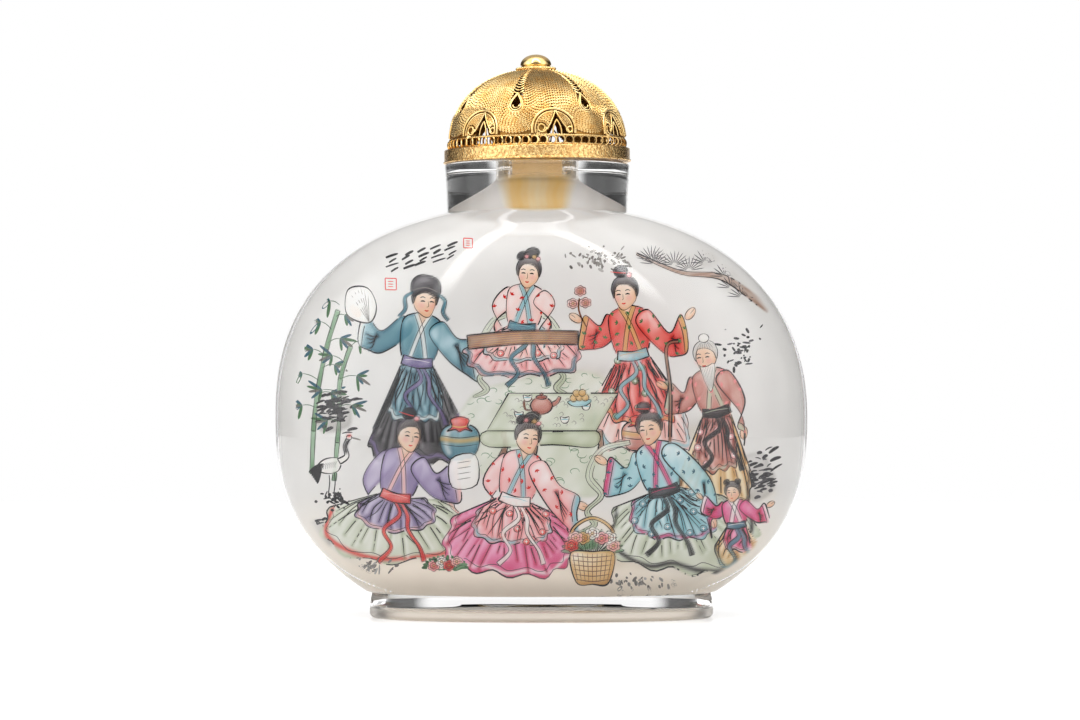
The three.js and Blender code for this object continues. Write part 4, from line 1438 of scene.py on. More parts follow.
@dataclass(frozen=True)
class Crane:
    """A standing white crane with dark tail feathers."""

    middle: Place
    mirror: int = 1
    size: float = 1.0

    def spots(self, places: Knots) -> np.ndarray:
        """Places on the sheet from places round the crane's body."""
        return np.asarray(places, float) * [self.mirror * self.size, self.size] + self.middle

    def paint(self, sheet: PaintedSheet) -> None:
        """Paints the legs, the body, the tail and the neck."""
        for dx in (-0.3, 0.7):
            sheet.ink(self.spots([(dx, -1), (dx + 0.15, -3), (dx - 0.05, -5.2), (dx + 0.6, -5.4)]), 0.08)
        body = self.spots([(-2.6, -0.6), (-1.2, 1.1), (1.0, 1.5), (2.0, 0.9), (1.4, -0.9), (-0.6, -1.4)])
        sheet.area(smooth_line(body, closed=True), Pigment.WHITE, shade=0.3)
        for k in range(7):
            start = self.spots([(-1.2 - 0.1 * k, 0.3 - 0.25 * k)])[0]
            end = self.spots([(-3.9 + 0.25 * k, -1.2 - 0.35 * k)])[0]
            sheet.ink([start, (start + end) / 2 + [0, 0.2], end], 0.22, depth=0.9)
        for k in range(8):
            start = self.spots([(1.3 - 0.35 * k, 0.9 - 0.06 * k)])[0]
            sheet.ink([start, start + [-0.35 * self.mirror, -0.5], start + [-0.3 * self.mirror, -0.9]], 0.035,
                      Pigment.GREY)
        neck = self.spots([(1.6, 0.8), (3.0, 1.8), (2.7, 3.6), (3.3, 5.0)])
        sheet.area(ribbon(neck, 0.55 * self.size, 0.35 * self.size, 0.3 * self.size), Pigment.WHITE)
        sheet.streak(self.spots([(2.9, 2.6), (2.75, 3.6), (3.2, 4.6)]), 0.25, Pigment.BLACK, 0.85)
        sheet.area(oval(self.spots([(3.45, 5.2)])[0], 0.5 * self.size, 0.42 * self.size), Pigment.WHITE, 0.05)
        sheet.streak(self.spots([(3.3, 5.5), (3.6, 5.55)]), 0.2, Pigment.RED, 0.95)
        sheet.ink(self.spots([(3.8, 5.2), (4.7, 5.0), (5.6, 4.75)]), 0.12, Pigment.GREY)


@dataclass(frozen=True)
class Inscription:
    """Rows of brush strokes that are no letters, and plain red seals."""

    start: Place
    end: Place
    groups: int = 5

    def paint(self, sheet: PaintedSheet) -> None:
        """Draws each group as slanting strokes side by side."""
        for k in range(self.groups):
            middle = np.array(self.start) + (np.array(self.end) - self.start) * k / (self.groups - 1)
            for row in range(4):
                wide = sheet.random.uniform(0.35, 0.9)
                place = middle + [sheet.random.uniform(-0.3, 0.3), 0.55 * (1.5 - row)]
                knots = [place - [wide, 0.28], place + [0, 0.05], place + [wide, 0.32]]
                sheet.ink(knots, sheet.random.uniform(0.1, 0.17), ends=(0.8, 0.25))

    @staticmethod
    def seal(sheet: PaintedSheet, place: Place, half: float) -> None:
        """Draws a square outline in red with short strokes inside."""
        x, z = place
        corners = [(x - half, z - half), (x - half, z + half), (x + half, z + half), (x + half, z - half)]
        for start, end in zip(corners, corners[1:] + corners[:1]):
            sheet.ink([start, end], 0.07, Pigment.RED, ends=(0.9, 0.8), depth=0.8)
        for row in (-0.45, 0, 0.45):
            stroke = [(x - 0.55 * half, z + row * half), (x + 0.5 * half, z + row * half)]
            sheet.ink(stroke, 0.06, Pigment.RED, depth=0.8)


def garden_party() -> list[RobedFigure]:
    """The figures of the front, from the farthest to the nearest."""
    scholar = RobedFigure(
        waist=(-17.0, 36.5), head=(0.8, 6.2), gaze=0.7, hair=Hair.CAP,
        hem=((-4.4, -6.5), (-5.0, -9.6), (-0.6, -10.6), (3.4, -10.2), (4.6, -6)),
        back_arm=Arm((-4.0, 2.4), (-6.0, 4.6)), front_arm=Arm((3.8, 1.6), (6.2, 1.4), 2.8),
        dress=Dress(Pigment.TEAL, Pigment.WHITE, Pigment.PURPLE, Pigment.BLACK),
    )
    musician = RobedFigure(
        waist=(-2.6, 41.3), head=(0.7, 5.9), gaze=-0.3, hair=Hair.LOOPS, size=1.2, tunic=0.7,
        hem=((-6.6, -2.6), (-5.6, -5.0), (0, -5.8), (5.6, -5.0), (6.8, -2.4)), scarf=Pigment.CELADON,
        back_arm=Arm((-3.6, 1.8), (-2.8, -0.9), 1.4), front_arm=Arm((3.8, 1.8), (2.6, -0.7), 1.4),
        dress=Dress(Pigment.BLUSH, Pigment.SKY, Pigment.TEAL, Pigment.ROSE, Pigment.RED),
    )
    gardener = RobedFigure(
        waist=(12.5, 37.5), head=(-0.8, 6.2), gaze=-0.6, hair=Hair.KNOT, tunic=0.72,
        hem=((-4.4, -5.5), (-3.6, -9.2), (1.0, -10.2), (5.8, -9.6), (5.2, -5)),
        back_arm=Arm((-3.4, 2.2), (-5.4, 3.4)), front_arm=Arm((3.9, 1.5), (5.6, 3.6), 2.6),
        dress=Dress(Pigment.RED, Pigment.OCHRE, Pigment.SKY, Pigment.BLUSH, Pigment.GREEN),
    )
    elder = RobedFigure(
        waist=(24.0, 29.6), head=(-1.2, 6.1), gaze=-0.8, hair=Hair.WHITE, size=1.2,
        hem=((-4.3, -7.5), (-4.0, -10.6), (0, -11.6), (3.6, -10.4), (4.0, -7)),
        back_arm=Arm((-3.6, 1.4), (-5.6, 2.6)), front_arm=Arm((3.4, 1.0), (3.2, -1.8), 1.8),
        dress=Dress(Pigment.CLAY, Pigment.CELADON, Pigment.BLACK, Pigment.OCHRE, Pigment.ROSE),
    )
    reader = RobedFigure(
        waist=(-20.0, 18.0), head=(1.4, 6.2), gaze=0.8, hair=Hair.KNOT, folds=15, tunic=0.55,
        hem=((-6.8, -1.2), (-7.6, -4.4), (-1.5, -6.8), (5.6, -6.2), (7.6, -3.0), (5.6, -0.4)),
        back_arm=Arm((-3.6, 1.2), (-2.6, -2.0), 1.6), front_arm=Arm((4.2, 1.6), (6.6, 3.0), 2.8),
        dress=Dress(Pigment.PURPLE, Pigment.BLUSH, Pigment.RED, Pigment.CELADON),
    )
    lady = RobedFigure(
        waist=(-3.6, 17.6), head=(1.3, 6.3), gaze=0.8, hair=Hair.LOOPS, folds=18, tunic=0.6,
        hem=((-6.4, -1.8), (-7.6, -5.6), (-3.0, -7.7), (3.4, -7.7), (6.4, -5.8), (5.2, -2.0)),
        back_arm=Arm((-3.4, 1.0), (-1.0, -2.2), 1.8), front_arm=Arm((4.0, 0.8), (6.4, -0.4), 3.0),
        dress=Dress(Pigment.ROSE, Pigment.SKY, Pigment.WHITE, Pigment.MAGENTA, Pigment.RED),
    )
    guest = RobedFigure(
        waist=(16.8, 18.8), head=(-1.5, 6.3), gaze=-0.8, hair=Hair.KNOT, folds=19, tunic=0.62,
        hem=((-5.2, -1.8), (-5.4, -6.4), (1.0, -8.4), (7.6, -7.6), (9.8, -3.8), (6.2, -0.6)),
        scarf=Pigment.CELADON,
        back_arm=Arm((-3.8, 1.6), (-6.0, 2.8), 2.6), front_arm=Arm((4.0, 0.8), (5.0, -2.6), 2.0),
        dress=Dress(Pigment.SKY, Pigment.MAGENTA, Pigment.BLACK, Pigment.CELADON, Pigment.TEAL),
    )
    child = RobedFigure(
        waist=(26.8, 14.0), head=(-0.6, 5.4), gaze=-0.5, hair=Hair.TWIN, size=0.8, folds=8,
        hem=((-3.6, -3.4), (-3.2, -6.4), (0, -7), (3.2, -6.4), (3.6, -3.4)),
        back_arm=Arm((-3.6, 2.4), (-5.8, 4.4), 1.8), front_arm=Arm((3.6, 1.8), (5.2, 3.0), 1.8),
        dress=Dress(Pigment.MAGENTA, Pigment.WHITE, Pigment.TEAL, Pigment.OCHRE),
    )
    return [scholar, musician, gardener, elder, reader, lady, guest, child]


def paint_front(sheet: PaintedSheet) -> None:
    """Paints the garden party.

    Args:
        sheet: the front of the inner wall.
    """
    scholar, musician, gardener, elder, reader, lady, guest, child = garden_party()
    for x, z, wide, high in ((4, 10, 18, 1.6), (-22, 12, 10, 2.4), (22, 10, 9, 2.2), (-16, 24.5, 11, 1.6),
                             (14, 27, 12, 1.8), (24, 19, 8, 1.6), (0, 35, 9, 1.4), (-9, 22, 5, 1.4)):
        sheet.wash(oval((x, z), wide, high), Pigment.MIST, opacity=0.6, edge=1.6, pool=0)
        earth = oval((x + 3, z - 0.8), 0.6 * wide, 0.6 * high)
        sheet.wash(earth, Pigment.OCHRE, opacity=0.16, edge=1.2, pool=0)
    PineBranch(((31, 43), (25, 47.5), (19, 48.5), (13, 51))).paint(sheet)
    Foliage((8, 50.5), 4.5, 1.4, 70).paint(sheet)
    Foliage((28, 38), 3, 3, 50, Pigment.BLACK).paint(sheet)
    Bamboo(((-31.5, 21), (-31.0, 30), (-29.5, 38), (-27.2, 45)), 9).paint(sheet)
    Bamboo(((-28.5, 20), (-27.8, 28), (-27.6, 34), (-25.6, 40)), 6).paint(sheet)
    Rock((-28.5, 29.5), 2.4, 3.0).paint(sheet)
    Rock((29.5, 20.5), 2.6, 3.0, 60).paint(sheet)
    FleeceMat((1.5, 26.5), 14.5, 8.5).paint(sheet)
    for figure in (scholar, musician, gardener, elder):
        figure.paint(sheet)
    x, z = musician.waist
    board = [(x - 7.5, z - 2.2), (x, z - 1.5), (x + 7.6, z - 1.6)]
    sheet.area(ribbon(board, 0.95), Pigment.BROWN)
    for k in np.linspace(-0.6, 0.6, 5):
        sheet.ink([(px, pz + k) for px, pz in board], 0.03, Pigment.OCHRE)
    x, z = scholar.waist
    sheet.area(smooth_line([(x - 6.6, z + 5.2), (x - 9.6, z + 6.2), (x - 9.4, z + 9.4), (x - 6.8, z + 9.8),
                            (x - 5.6, z + 7.4)], closed=True), Pigment.WHITE)
    for k in np.linspace(0.25, 0.8, 6):
        tip = (x - 10.4 + 4.6 * k, z + 7.4 + 2.6 * math.sin(math.pi * k))
        sheet.ink([(x - 6.6, z + 5.2), tip], 0.035, Pigment.GREY)
    x, z = elder.waist
    sheet.area(ribbon([(x - 6.6, z - 10.5), (x - 6.3, z + 2), (x - 6.9, z + 8.6), (x - 5.2, z + 9.6)], 0.2),
               Pigment.BROWN, depth=0.8)
    x, z = gardener.waist
    sheet.ink([(x - 6.3, z + 3.6), (x - 7.4, z + 6), (x - 7.2, z + 8.4)], 0.12, Pigment.BROWN)
    for dx, dz in ((-7.2, 8.6), (-8.2, 6.9), (-6.5, 7.0)):
        Blossom((x + dx, z + dz), 0.85, Pigment.BLUSH).paint(sheet)
    TeaTable((1.5, 29.5)).paint(sheet)
    WineJar((-11.2, 25.6), 1.05).paint(sheet)
    WineJar((13.2, 26.4), 0.85, Pigment.CLAY).paint(sheet)
    Rock((-31, 12.5), 2.2, 2.4, 40).paint(sheet)
    for figure in (reader, lady, guest):
        figure.paint(sheet)
    x, z = reader.at((1.2, 0.0))
    scroll = [(x + 6.0, z + 5.0), (x + 9.4, z + 5.6), (x + 9.6, z + 1.6), (x + 6.2, z + 1.2)]
    sheet.area(smooth_line(scroll, closed=True, steps=4), Pigment.WHITE)
    for k in range(4):
        sheet.ink([(x + 6.9, z + 4.5 - 0.75 * k), (x + 8.8, z + 4.8 - 0.75 * k)], 0.05, Pigment.GREY)
    FlowerBasket((7.0, 10.2)).paint(sheet)
    child.paint(sheet)
    Crane((-29.0, 22.0), 1, 0.75).paint(sheet)
    FlowerClump((-13.2, 8.6), 2.6, (Pigment.ROSE, Pigment.WHITE, Pigment.RED, Pigment.BLUSH)).paint(sheet)
    Inscription((-20.3, 49.6), (-12.2, 51.4)).paint(sheet)
    Inscription.seal(sheet, (-10.0, 52.4), 0.6)
    Inscription.seal(sheet, (-20.6, 46.9), 0.75)
    Foliage((-29, 17.5), 2.5, 1.2, 46, Pigment.BLACK).paint(sheet)
    Foliage((-24, 8.5), 4, 0.9, 60, Pigment.GREY).paint(sheet)
    Foliage((14, 6.6), 6, 0.8, 50, Pigment.GREY).paint(sheet)


def paint_back(sheet: PaintedSheet) -> None:
    """Paints a plain lake shore: hills, rocks, a pine and rows of strokes.

    Args:
        sheet: the back of the inner wall.
    """
    for x, z, wide, high in ((-8, 34, 13, 6), (10, 32, 12, 4), (0, 12, 24, 3), (20, 30, 9, 5)):
        sheet.wash(oval((x, z), wide, high), Pigment.MIST, opacity=0.6, edge=1.4, pool=0.3)
    for middle, wide, high in (((-17, 15), 5, 4), ((-9, 12), 3.6, 2.4), ((21, 14), 4, 3)):
        Rock(middle, wide, high, 90).paint(sheet)
    PineBranch(((-17, 17), (-16, 27), (-19, 34), (-12, 42), (-3, 45)), 16).paint(sheet)
    Foliage((18, 20), 5, 1.6, 60).paint(sheet)
    Crane((6, 17), -1).paint(sheet)
    for column in range(3):
        top = (17.5 - 2.6 * column, 45.5 - 0.6 * column)
        Inscription(top, (top[0], top[1] - 12), 6).paint(sheet)
    Inscription.seal(sheet, (10.2, 31.2), 0.7)


# The inner wall


@dataclass(frozen=True)
class InnerWall:
    """The frosted and painted inner wall, a thin layer bonded to the glass from the floor to the bore."""

    bottle: GlassBottle
    rows: int = 300
    columns: int = 330
    bond: float = 0.03
    ink_lift: float = 0.03
    middle_share: float = 0.55
    clear_z: float = 63.4
    painted_z: float = 61.6
    frost: float = 0.3
    fade: tuple[float, float] = (0.965, 0.992)
    levels: int = 400
    pearl: float = 0.905
    pearl_tint: Colour = (1.0, 0.992, 0.98)
    # painted glow of the cork seen through the glass: its colour, heights and sides
    painted_cork_glow_colour: Colour = (1.0, 0.84, 0.54)
    painted_cork_glow_z: tuple[float, float] = (57.2, 58.4)
    painted_cork_glow_sides: tuple[float, float] = (-4.4, -2.6)

    def sections(self) -> np.ndarray:
        """Sections of the hollow from its floor up to the lip, a little out into the glass."""
        sections = np.concatenate([self.bottle.cavity(self.levels)[::-1], self.bottle.bore()[-2::-1]])
        sections[1:, 1:3] += self.bond
        sections[0, 1:3] = 0.02 * sections[1, 1:3]
        return sections

    def grid(self, front: bool, rows: int, columns: int) -> tuple[np.ndarray, np.ndarray]:
        """Points of one half of the wall, with their places on a flat sheet.

        A column's share of the half-width is s, spread evenly in the middle and closer towards the sides.
        y = depth * (1 - |s|^n)^(1/n), towards -Y on the front. Rows follow the wall's length at mid-width.

        Args:
            front: the painted front, or else the back.
            rows: number of rows.
            columns: number of points in a row.

        Returns:
            Points in a grid, rows from the floor up, and the flat places between 0 and 1.
        """
        sections = self.sections()
        steps = np.hypot(np.diff(sections[:, 0]), np.diff(sections[:, 2]))
        length = np.concatenate([[0], np.cumsum(steps)])
        even = np.linspace(0, length[-1], rows)
        columns_at = (np.interp(even, length, column)[:, None] for column in sections.T)
        z, width, depth, roundness, shift = columns_at
        t = np.linspace(-1, 1, columns)[None, :]
        s = self.middle_share * t + (1 - self.middle_share) * np.sin(t * math.pi / 2)
        side = -1 if front else 1
        points = np.stack([shift + width * s, side * depth * superellipse(s, roundness), z + 0 * s], -1)
        flat = np.stack([(t + 1) / 2 + 0 * z, even[:, None] / length[-1] + 0 * t], -1)
        return points, flat

    def build(self) -> list[bpy.types.Object]:
        """Makes both halves of the wall, the front fine enough for the painting.

        Returns:
            The new objects.
        """
        wall_paint = PaintLayer("inner_wall_paint").material()
        ink_paint = PaintLayer("ink").material()
        made = []
        for front, rows, columns, paint in (
            (True, self.rows, self.columns, paint_front),
            (False, self.rows * 2 // 3, self.columns * 2 // 3, paint_back),
        ):
            side = "front" if front else "back"
            points, flat = self.grid(front, rows, columns)
            places = points.reshape(-1, 3)[:, [0, 2]]
            ground = self.ground(places)
            sheet = PaintedSheet(places if front else places * [-1, 1], ground, seed=7 if front else 8)
            bare = sheet.colours.copy()
            paint(sheet)
            share = np.abs(self.share_across(*places.T))
            sheet.colours += smooth_step(share, *self.fade)[:, None] * (bare - sheet.colours)
            shape = Shape()
            faces = grid_faces(rows, columns, wrap=False)
            shape.add(points, faces if front else faces[:, ::-1])
            piece = shape.piece(f"painted_wall_{side}", wall_paint)
            cover = 1 - (1 - self.frost) * smooth_step(places[:, 1], self.painted_z, self.clear_z)
            store_colours(piece, np.column_stack([sheet.colours, cover]), flat)
            made += [piece, self.ink_piece(sheet, front, f"ink_lines_{side}", ink_paint)]
        for piece in made:
            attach(piece, BODY)
        return made

    def ground(self, places: np.ndarray) -> np.ndarray:
        """Colours of the bare frosted wall: pearly grey, warmer to the foot, with painted light.

        The painted light lifts the grey towards -X, the foot and the neck, and paints the glow of the cork
        seen through the glass near the bore.
        """
        x, z = places.T
        mottle = 0.006 * np.sin(0.9 * x + 1.3 * np.sin(0.5 * z)) * np.sin(0.7 * z + 0.6 * x)
        # painted light: the grey is lifted towards -X and towards the foot here, and near the neck on the
        # next line
        grey = self.pearl + 0.02 * smooth_step(-x, 4, 26) + 0.07 * smooth_step(-z, -20, -8) + mottle
        grey += 0.09 * smooth_step(z, 50, 57)
        warmth = smooth_step(-z, -20, -7)[:, None]
        warm = np.array(self.pearl_tint) - warmth * np.array([0, 0.035, 0.085])
        # painted glow of the cork seen through the glass near the bore, with faint streaks and whiter in its
        # middle
        across = np.abs(x - self.bottle.neck_shift)
        streaks = 0.02 * np.sin(5.1 * x + 0.9 * np.sin(1.7 * z)) * np.sin(2.3 * x + 1)
        glow = smooth_step(z - 0.015 * across**2, *self.painted_cork_glow_z) * smooth_step(-across, *self.painted_cork_glow_sides)
        tint = np.array([0, 0.5, 1.4])
        gold = np.array(self.painted_cork_glow_colour)
        gold = gold + (streaks + 0.12 * smooth_step(-across, -2, 0))[:, None] * tint
        bare = grey[:, None] * warm
        return np.clip(bare + glow[:, None] * (gold - bare), 0, 1)

    def share_across(self, x: np.ndarray, z: np.ndarray) -> np.ndarray:
        """Distance across from the middle of the wall at a height, as a share of its half-width there."""
        level, wide, _, _, shift = self.sections().T
        return (x - np.interp(z, level, shift)) / np.interp(z, level, wide)

    def ink_piece(self, sheet: PaintedSheet, front: bool, name: str,
                  material: bpy.types.Material) -> bpy.types.Object:
        """Makes the ink lines of a sheet as flat strips just off the wall.

        Args:
            sheet: the sheet whose lines are made.
            front: whether it is the front of the wall.
            name: the piece's name.
            material: its finish.

        Returns:
            The new object.
        """
        level, wide, deep, roundness, shift = self.sections().T
        side = -1 if front else 1
        shape, colours = Shape(), []

        def on_wall(places: np.ndarray) -> np.ndarray:
            """Whether places lie on the wall, a little in from its edge."""
            x, z = places.T
            share = self.share_across(x if front else -x, z)
            return (np.abs(share) < self.fade[0]) & (z > level[2] + 0.3) & (z < self.painted_z)

        for line in sheet.strokes(on_wall):
            ahead = unit(np.gradient(line[:, :2], axis=0))
            across = np.stack([ahead[:, 1], -ahead[:, 0]], -1) * line[:, 2, None]
            x, z = (line[:, None, :2] + np.stack([across, -across], 1)).transpose(2, 0, 1)
            x = x if front else -x
            share = (x - np.interp(z, level, shift)) / np.interp(z, level, wide)
            half_depth = np.interp(z, level, deep) + self.ink_lift
            depth = half_depth * superellipse(share, np.interp(z, level, roundness))
            faces = grid_faces(len(line), 2, wrap=False)
            shape.add(np.stack([x, side * depth, z], -1), faces[:, ::-1])
            colours.append(np.repeat(line[:, 3:], 2, axis=0))
        piece = shape.piece(name, material)
        colours = np.concatenate(colours)
        places = np.concatenate(shape.points)[:, [0, 2]]
        low = places.min(0)
        flat = (places - low) / np.ptp(places, axis=0)
        store_colours(piece, np.column_stack([colours, np.ones(len(colours))]), flat)
        return piece


def store_colours(piece: bpy.types.Object, colours: np.ndarray, flat: np.ndarray) -> None:
    """Stores each point's colour, and its place on a flat sheet as the piece's own map.

    Args:
        piece: the piece.
        colours: red, green and blue as the eye sees them, and the cover, one row for each point.
        flat: two coordinates between 0 and 1 for each point.
    """
    linear = np.where(colours <= 0.04045, colours / 12.92, ((np.maximum(colours, 0) + 0.055) / 1.055) ** 2.4)
    linear[:, 3] = colours[:, 3]
    layer = piece.data.color_attributes.new(PaintLayer.attribute, "FLOAT_COLOR", "POINT")
    layer.data.foreach_set("color", linear.astype(np.float32).ravel())
    corner = np.empty(len(piece.data.loops), np.int32)
    piece.data.loops.foreach_get("vertex_index", corner)
    sheet = piece.data.uv_layers.new(name="OFBake")
    sheet.data.foreach_set("uv", flat.reshape(-1, 2)[corner].astype(np.float32).ravel())


# The stopper


@dataclass(frozen=True)
class StopperSeat:
    """Where the stopper sits: on the lip, leaning a little towards -X on that edge of it."""

    bottle: GlassBottle
    lean_deg: float = 0.8
    gap: float = 0.02
    band_height: float = 1.9
    gallery_height: float = 1.3

    @property
    def band_z(self) -> float:
        """Height of the band's underside."""
        return self.bottle.lip_z + self.gap

    @property
    def gallery_z(self) -> float:
        """Height of the gallery's underside."""
        return self.band_z + self.band_height + self.gap

    @property
    def dome_z(self) -> float:
        """Height of the dome's lower edge."""
        return self.gallery_z + self.gallery_height + self.gap

    def place(self, points: np.ndarray) -> np.ndarray:
        """Turns points of an upright stopper about the lip's edge, and moves them to the neck's axis.

        x' = x cos(lean) - z sin(lean) and z' = x sin(lean) + z cos(lean), about the edge.

        Args:
            points: rows of X, Y, Z round the Z axis.

        Returns:
            The same points on the bottle.
        """
        edge = np.array([self.bottle.lip_round - self.bottle.neck_lip_radius, 0, self.bottle.lip_z])
        lean = math.radians(self.lean_deg)
        cos, sin = math.cos(lean), math.sin(lean)
        turn = np.array([[cos, 0, -sin], [0, 1, 0], [sin, 0, cos]])
        return (points - edge) @ turn.T + edge + np.array([self.bottle.neck_shift, 0, 0])

    def shape(self) -> Shape:
        """An empty shape whose points are placed on the bottle."""
        return Shape(self.place)


@dataclass(frozen=True)
class Cork:
    """The cork under the plate, which closes the bore."""

    seat: StopperSeat
    radius: float = 3.6
    length: float = 6.4
    chamfer: float = 0.5
    sides: int = 96

    def build(self) -> bpy.types.Object:
        """Makes the cork: a cylinder with a rounded lower edge."""
        top = self.seat.band_z - self.seat.gap
        turn = np.linspace(0, math.pi / 2, 6)
        edge = np.stack([
            self.radius - self.chamfer * (1 - np.sin(turn)),
            top - self.length + self.chamfer * (1 - np.cos(turn)),
        ], -1)
        side = np.stack([np.full(8, self.radius), np.linspace(edge[-1, 1], top, 9)[1:]], -1)
        profile = np.concatenate([[[0, top - self.length]], edge, side, [[0, top]]])
        shape = self.seat.shape()
        shape.add(*turned(profile, self.sides))
        made = shape.piece("cork", CorkBark().material(), sharp_deg=40)
        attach(made, BODY)
        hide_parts("stopper_cork")
        return made


def gilt_piece(shape: Shape, name: str, finish: bpy.types.Material, *nodes: str) -> bpy.types.Object:
    """Makes a gilt piece of the stopper and ties it to the frame.

    Args:
        shape: its shape.
        name: its name.
        finish: its material.
        nodes: the solids that it stands for.

    Returns:
        The new object.
    """
    made = shape.piece(name, finish, sharp_deg=50)
    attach(made, BODY)
    if nodes:
        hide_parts(*nodes)
    LOG.info("made %s", name)
    return made


@dataclass(frozen=True)
class Band:
    """The plain band round the lip: a satin side over a thin bright rounded edge."""

    seat: StopperSeat
    radius: float = 13.25
    wall: float = 1.1
    lip: float = 0.15
    lip_height: float = 0.3
    chamfer: float = 0.15
    sides: int = 360

    def build(self, satin: bpy.types.Material) -> bpy.types.Object:
        """Makes the band as a closed ring.

        Args:
            satin: its finish.

        Returns:
            The new object.
        """
        inner, high = self.radius - self.wall, self.seat.band_height
        bulge = np.linspace(-math.pi / 2, math.pi / 2, 9)
        edge = np.stack([
            self.radius + self.lip * np.cos(bulge),
            self.lip_height / 2 * (1 + np.sin(bulge)),
        ], -1)
        turn = np.linspace(0, math.pi / 2, 5)
        top = np.stack([
            self.radius - self.chamfer * (1 - np.cos(turn)),
            high - self.chamfer * (1 - np.sin(turn)),
        ], -1)
        side = np.stack([np.full(6, self.radius), np.linspace(self.lip_height + 0.02, top[0, 1], 6)], -1)
        profile = np.concatenate([edge, side[:-1], top, [[inner, high]], [[inner, 0]], edge[:1]])
        profile[:, 1] += self.seat.band_z
        shape = self.seat.shape()
        points, quads, _ = turned(profile[:-1], self.sides)
        shape.add(points, quads, joint_faces(len(profile) - 1, self.sides))
        return gilt_piece(shape, "band", satin, "stopper_band")


@dataclass(frozen=True)
class Gallery:
    """The low row of wire loops between the band and the dome."""

    seat: StopperSeat
    radius: float = 12.45
    loops: int = 63
    loop_radius: float = 0.56
    turn_deg: float = 28
    loop_steps: int = 20
    rail_steps: int = 400
    wire: Wire = Wire(0.13, sides=6)
    rail: Wire = Wire(0.15, sides=8, twist_pitch=0.45)

    def build(self, bright: bpy.types.Material) -> bpy.types.Object:
        """Makes the loops, each a ring turned a little so that they overlap, between two rails.

        Args:
            bright: the finish.

        Returns:
            The new object.
        """
        shape = self.seat.shape()
        middle_z = self.seat.gallery_z + self.seat.gallery_height / 2
        turn = np.arange(self.loop_steps) * FULL_TURN / self.loop_steps
        for k in range(self.loops):
            angle = FULL_TURN * k / self.loops
            outward = np.array([math.cos(angle), math.sin(angle), 0])
            tangent = np.array([-math.sin(angle), math.cos(angle), 0])
            tilt = math.radians(self.turn_deg)
            across = math.cos(tilt) * tangent + math.sin(tilt) * outward
            middle = self.radius * outward + [0, 0, middle_z]
            ring = np.cos(turn)[:, None] * across + np.sin(turn)[:, None] * np.array([0, 0, 1.0])
            self.wire.sweep(shape, middle + self.loop_radius * ring, ring, closed=True)
        around = np.arange(self.rail_steps) * FULL_TURN / self.rail_steps
        for z, radius in ((self.seat.gallery_z + 0.12, self.radius), (self.seat.dome_z, self.radius - 0.05)):
            path = np.stack([radius * np.cos(around), radius * np.sin(around), z + 0 * around], -1)
            self.rail.sweep(shape, path, path * [1, 1, 0], closed=True)
        return gilt_piece(shape, "gallery_loops", bright, "stopper_gallery")


@dataclass(frozen=True)
class DomeSurface:
    """The dome's outer surface: a superellipse turned round Z, drawn in at the seams between petals."""

    base_z: float
    radius: float = 12.7
    rise: float = 11.25
    roundness: float = 2.2
    crown_radius: float = 2.6
    petals: int = 7
    first_seam_deg: float = -78.8
    groove: float = 0.4

    def meridian(self) -> np.ndarray:
        """Length from the crown, radius, height and outward normal along one line down the dome.

        r = R cos(p)^(2/n) and z = base + rise sin(p)^(2/n), with p from the crown down to 0.

        Returns:
            Columns of length, radius, height, normal's radial part and normal's upward part.
        """
        crown = math.acos((self.crown_radius / self.radius) ** (self.roundness / 2))
        p = np.linspace(crown, 0, 800)
        radius = self.radius * np.cos(p) ** (2 / self.roundness)
        height = self.base_z + self.rise * np.sin(p) ** (2 / self.roundness)
        along = np.concatenate([[0], np.cumsum(np.hypot(np.diff(radius), np.diff(height)))])
        ahead = unit(np.stack([np.gradient(radius), np.gradient(height)], -1))
        return np.stack([along, radius, height, -ahead[:, 1], ahead[:, 0]])

    def radius_at(self, drop: np.ndarray) -> np.ndarray:
        """Radius at a length down from the crown."""
        line = self.meridian()
        return np.interp(drop, line[0], line[1])

    def drop_at(self, z: float) -> float:
        """Length down from the crown to a height."""
        line = self.meridian()
        return float(np.interp(-z, -line[2], line[0]))

    def seam_angle(self, k: float) -> float:
        """Angle of seam k, or between seams where k is a fraction."""
        return math.radians(self.first_seam_deg) + FULL_TURN * k / self.petals

    def at(self, middle: float, across: np.ndarray, drop: np.ndarray,
           lift: float) -> tuple[np.ndarray, np.ndarray]:
        """Points on the dome and their outward directions.

        angle = middle + across / r(drop), and the radius is drawn in by
        groove * sqrt(1 - height^2) * (1 - |sin(petals * (angle - seam) / 2)|).

        Args:
            middle: angle that the distances across are measured from.
            across: distance round the dome.
            drop: length down from the crown.
            lift: distance out from the surface.

        Returns:
            Points and unit directions, one in each row.
        """
        line = self.meridian()
        radius, z, out, rise = (np.interp(drop, line[0], column) for column in line[1:])
        angle = middle + across / radius
        petal = np.abs(np.sin(self.petals * (angle - self.seam_angle(0)) / 2))
        inset = self.groove * superellipse((z - self.base_z) / self.rise, 2) * (1 - petal)
        reach = radius - inset + lift * out
        points = np.stack([reach * np.cos(angle), reach * np.sin(angle), z + lift * rise], -1)
        return points, np.stack([out * np.cos(angle), out * np.sin(angle), rise], -1)


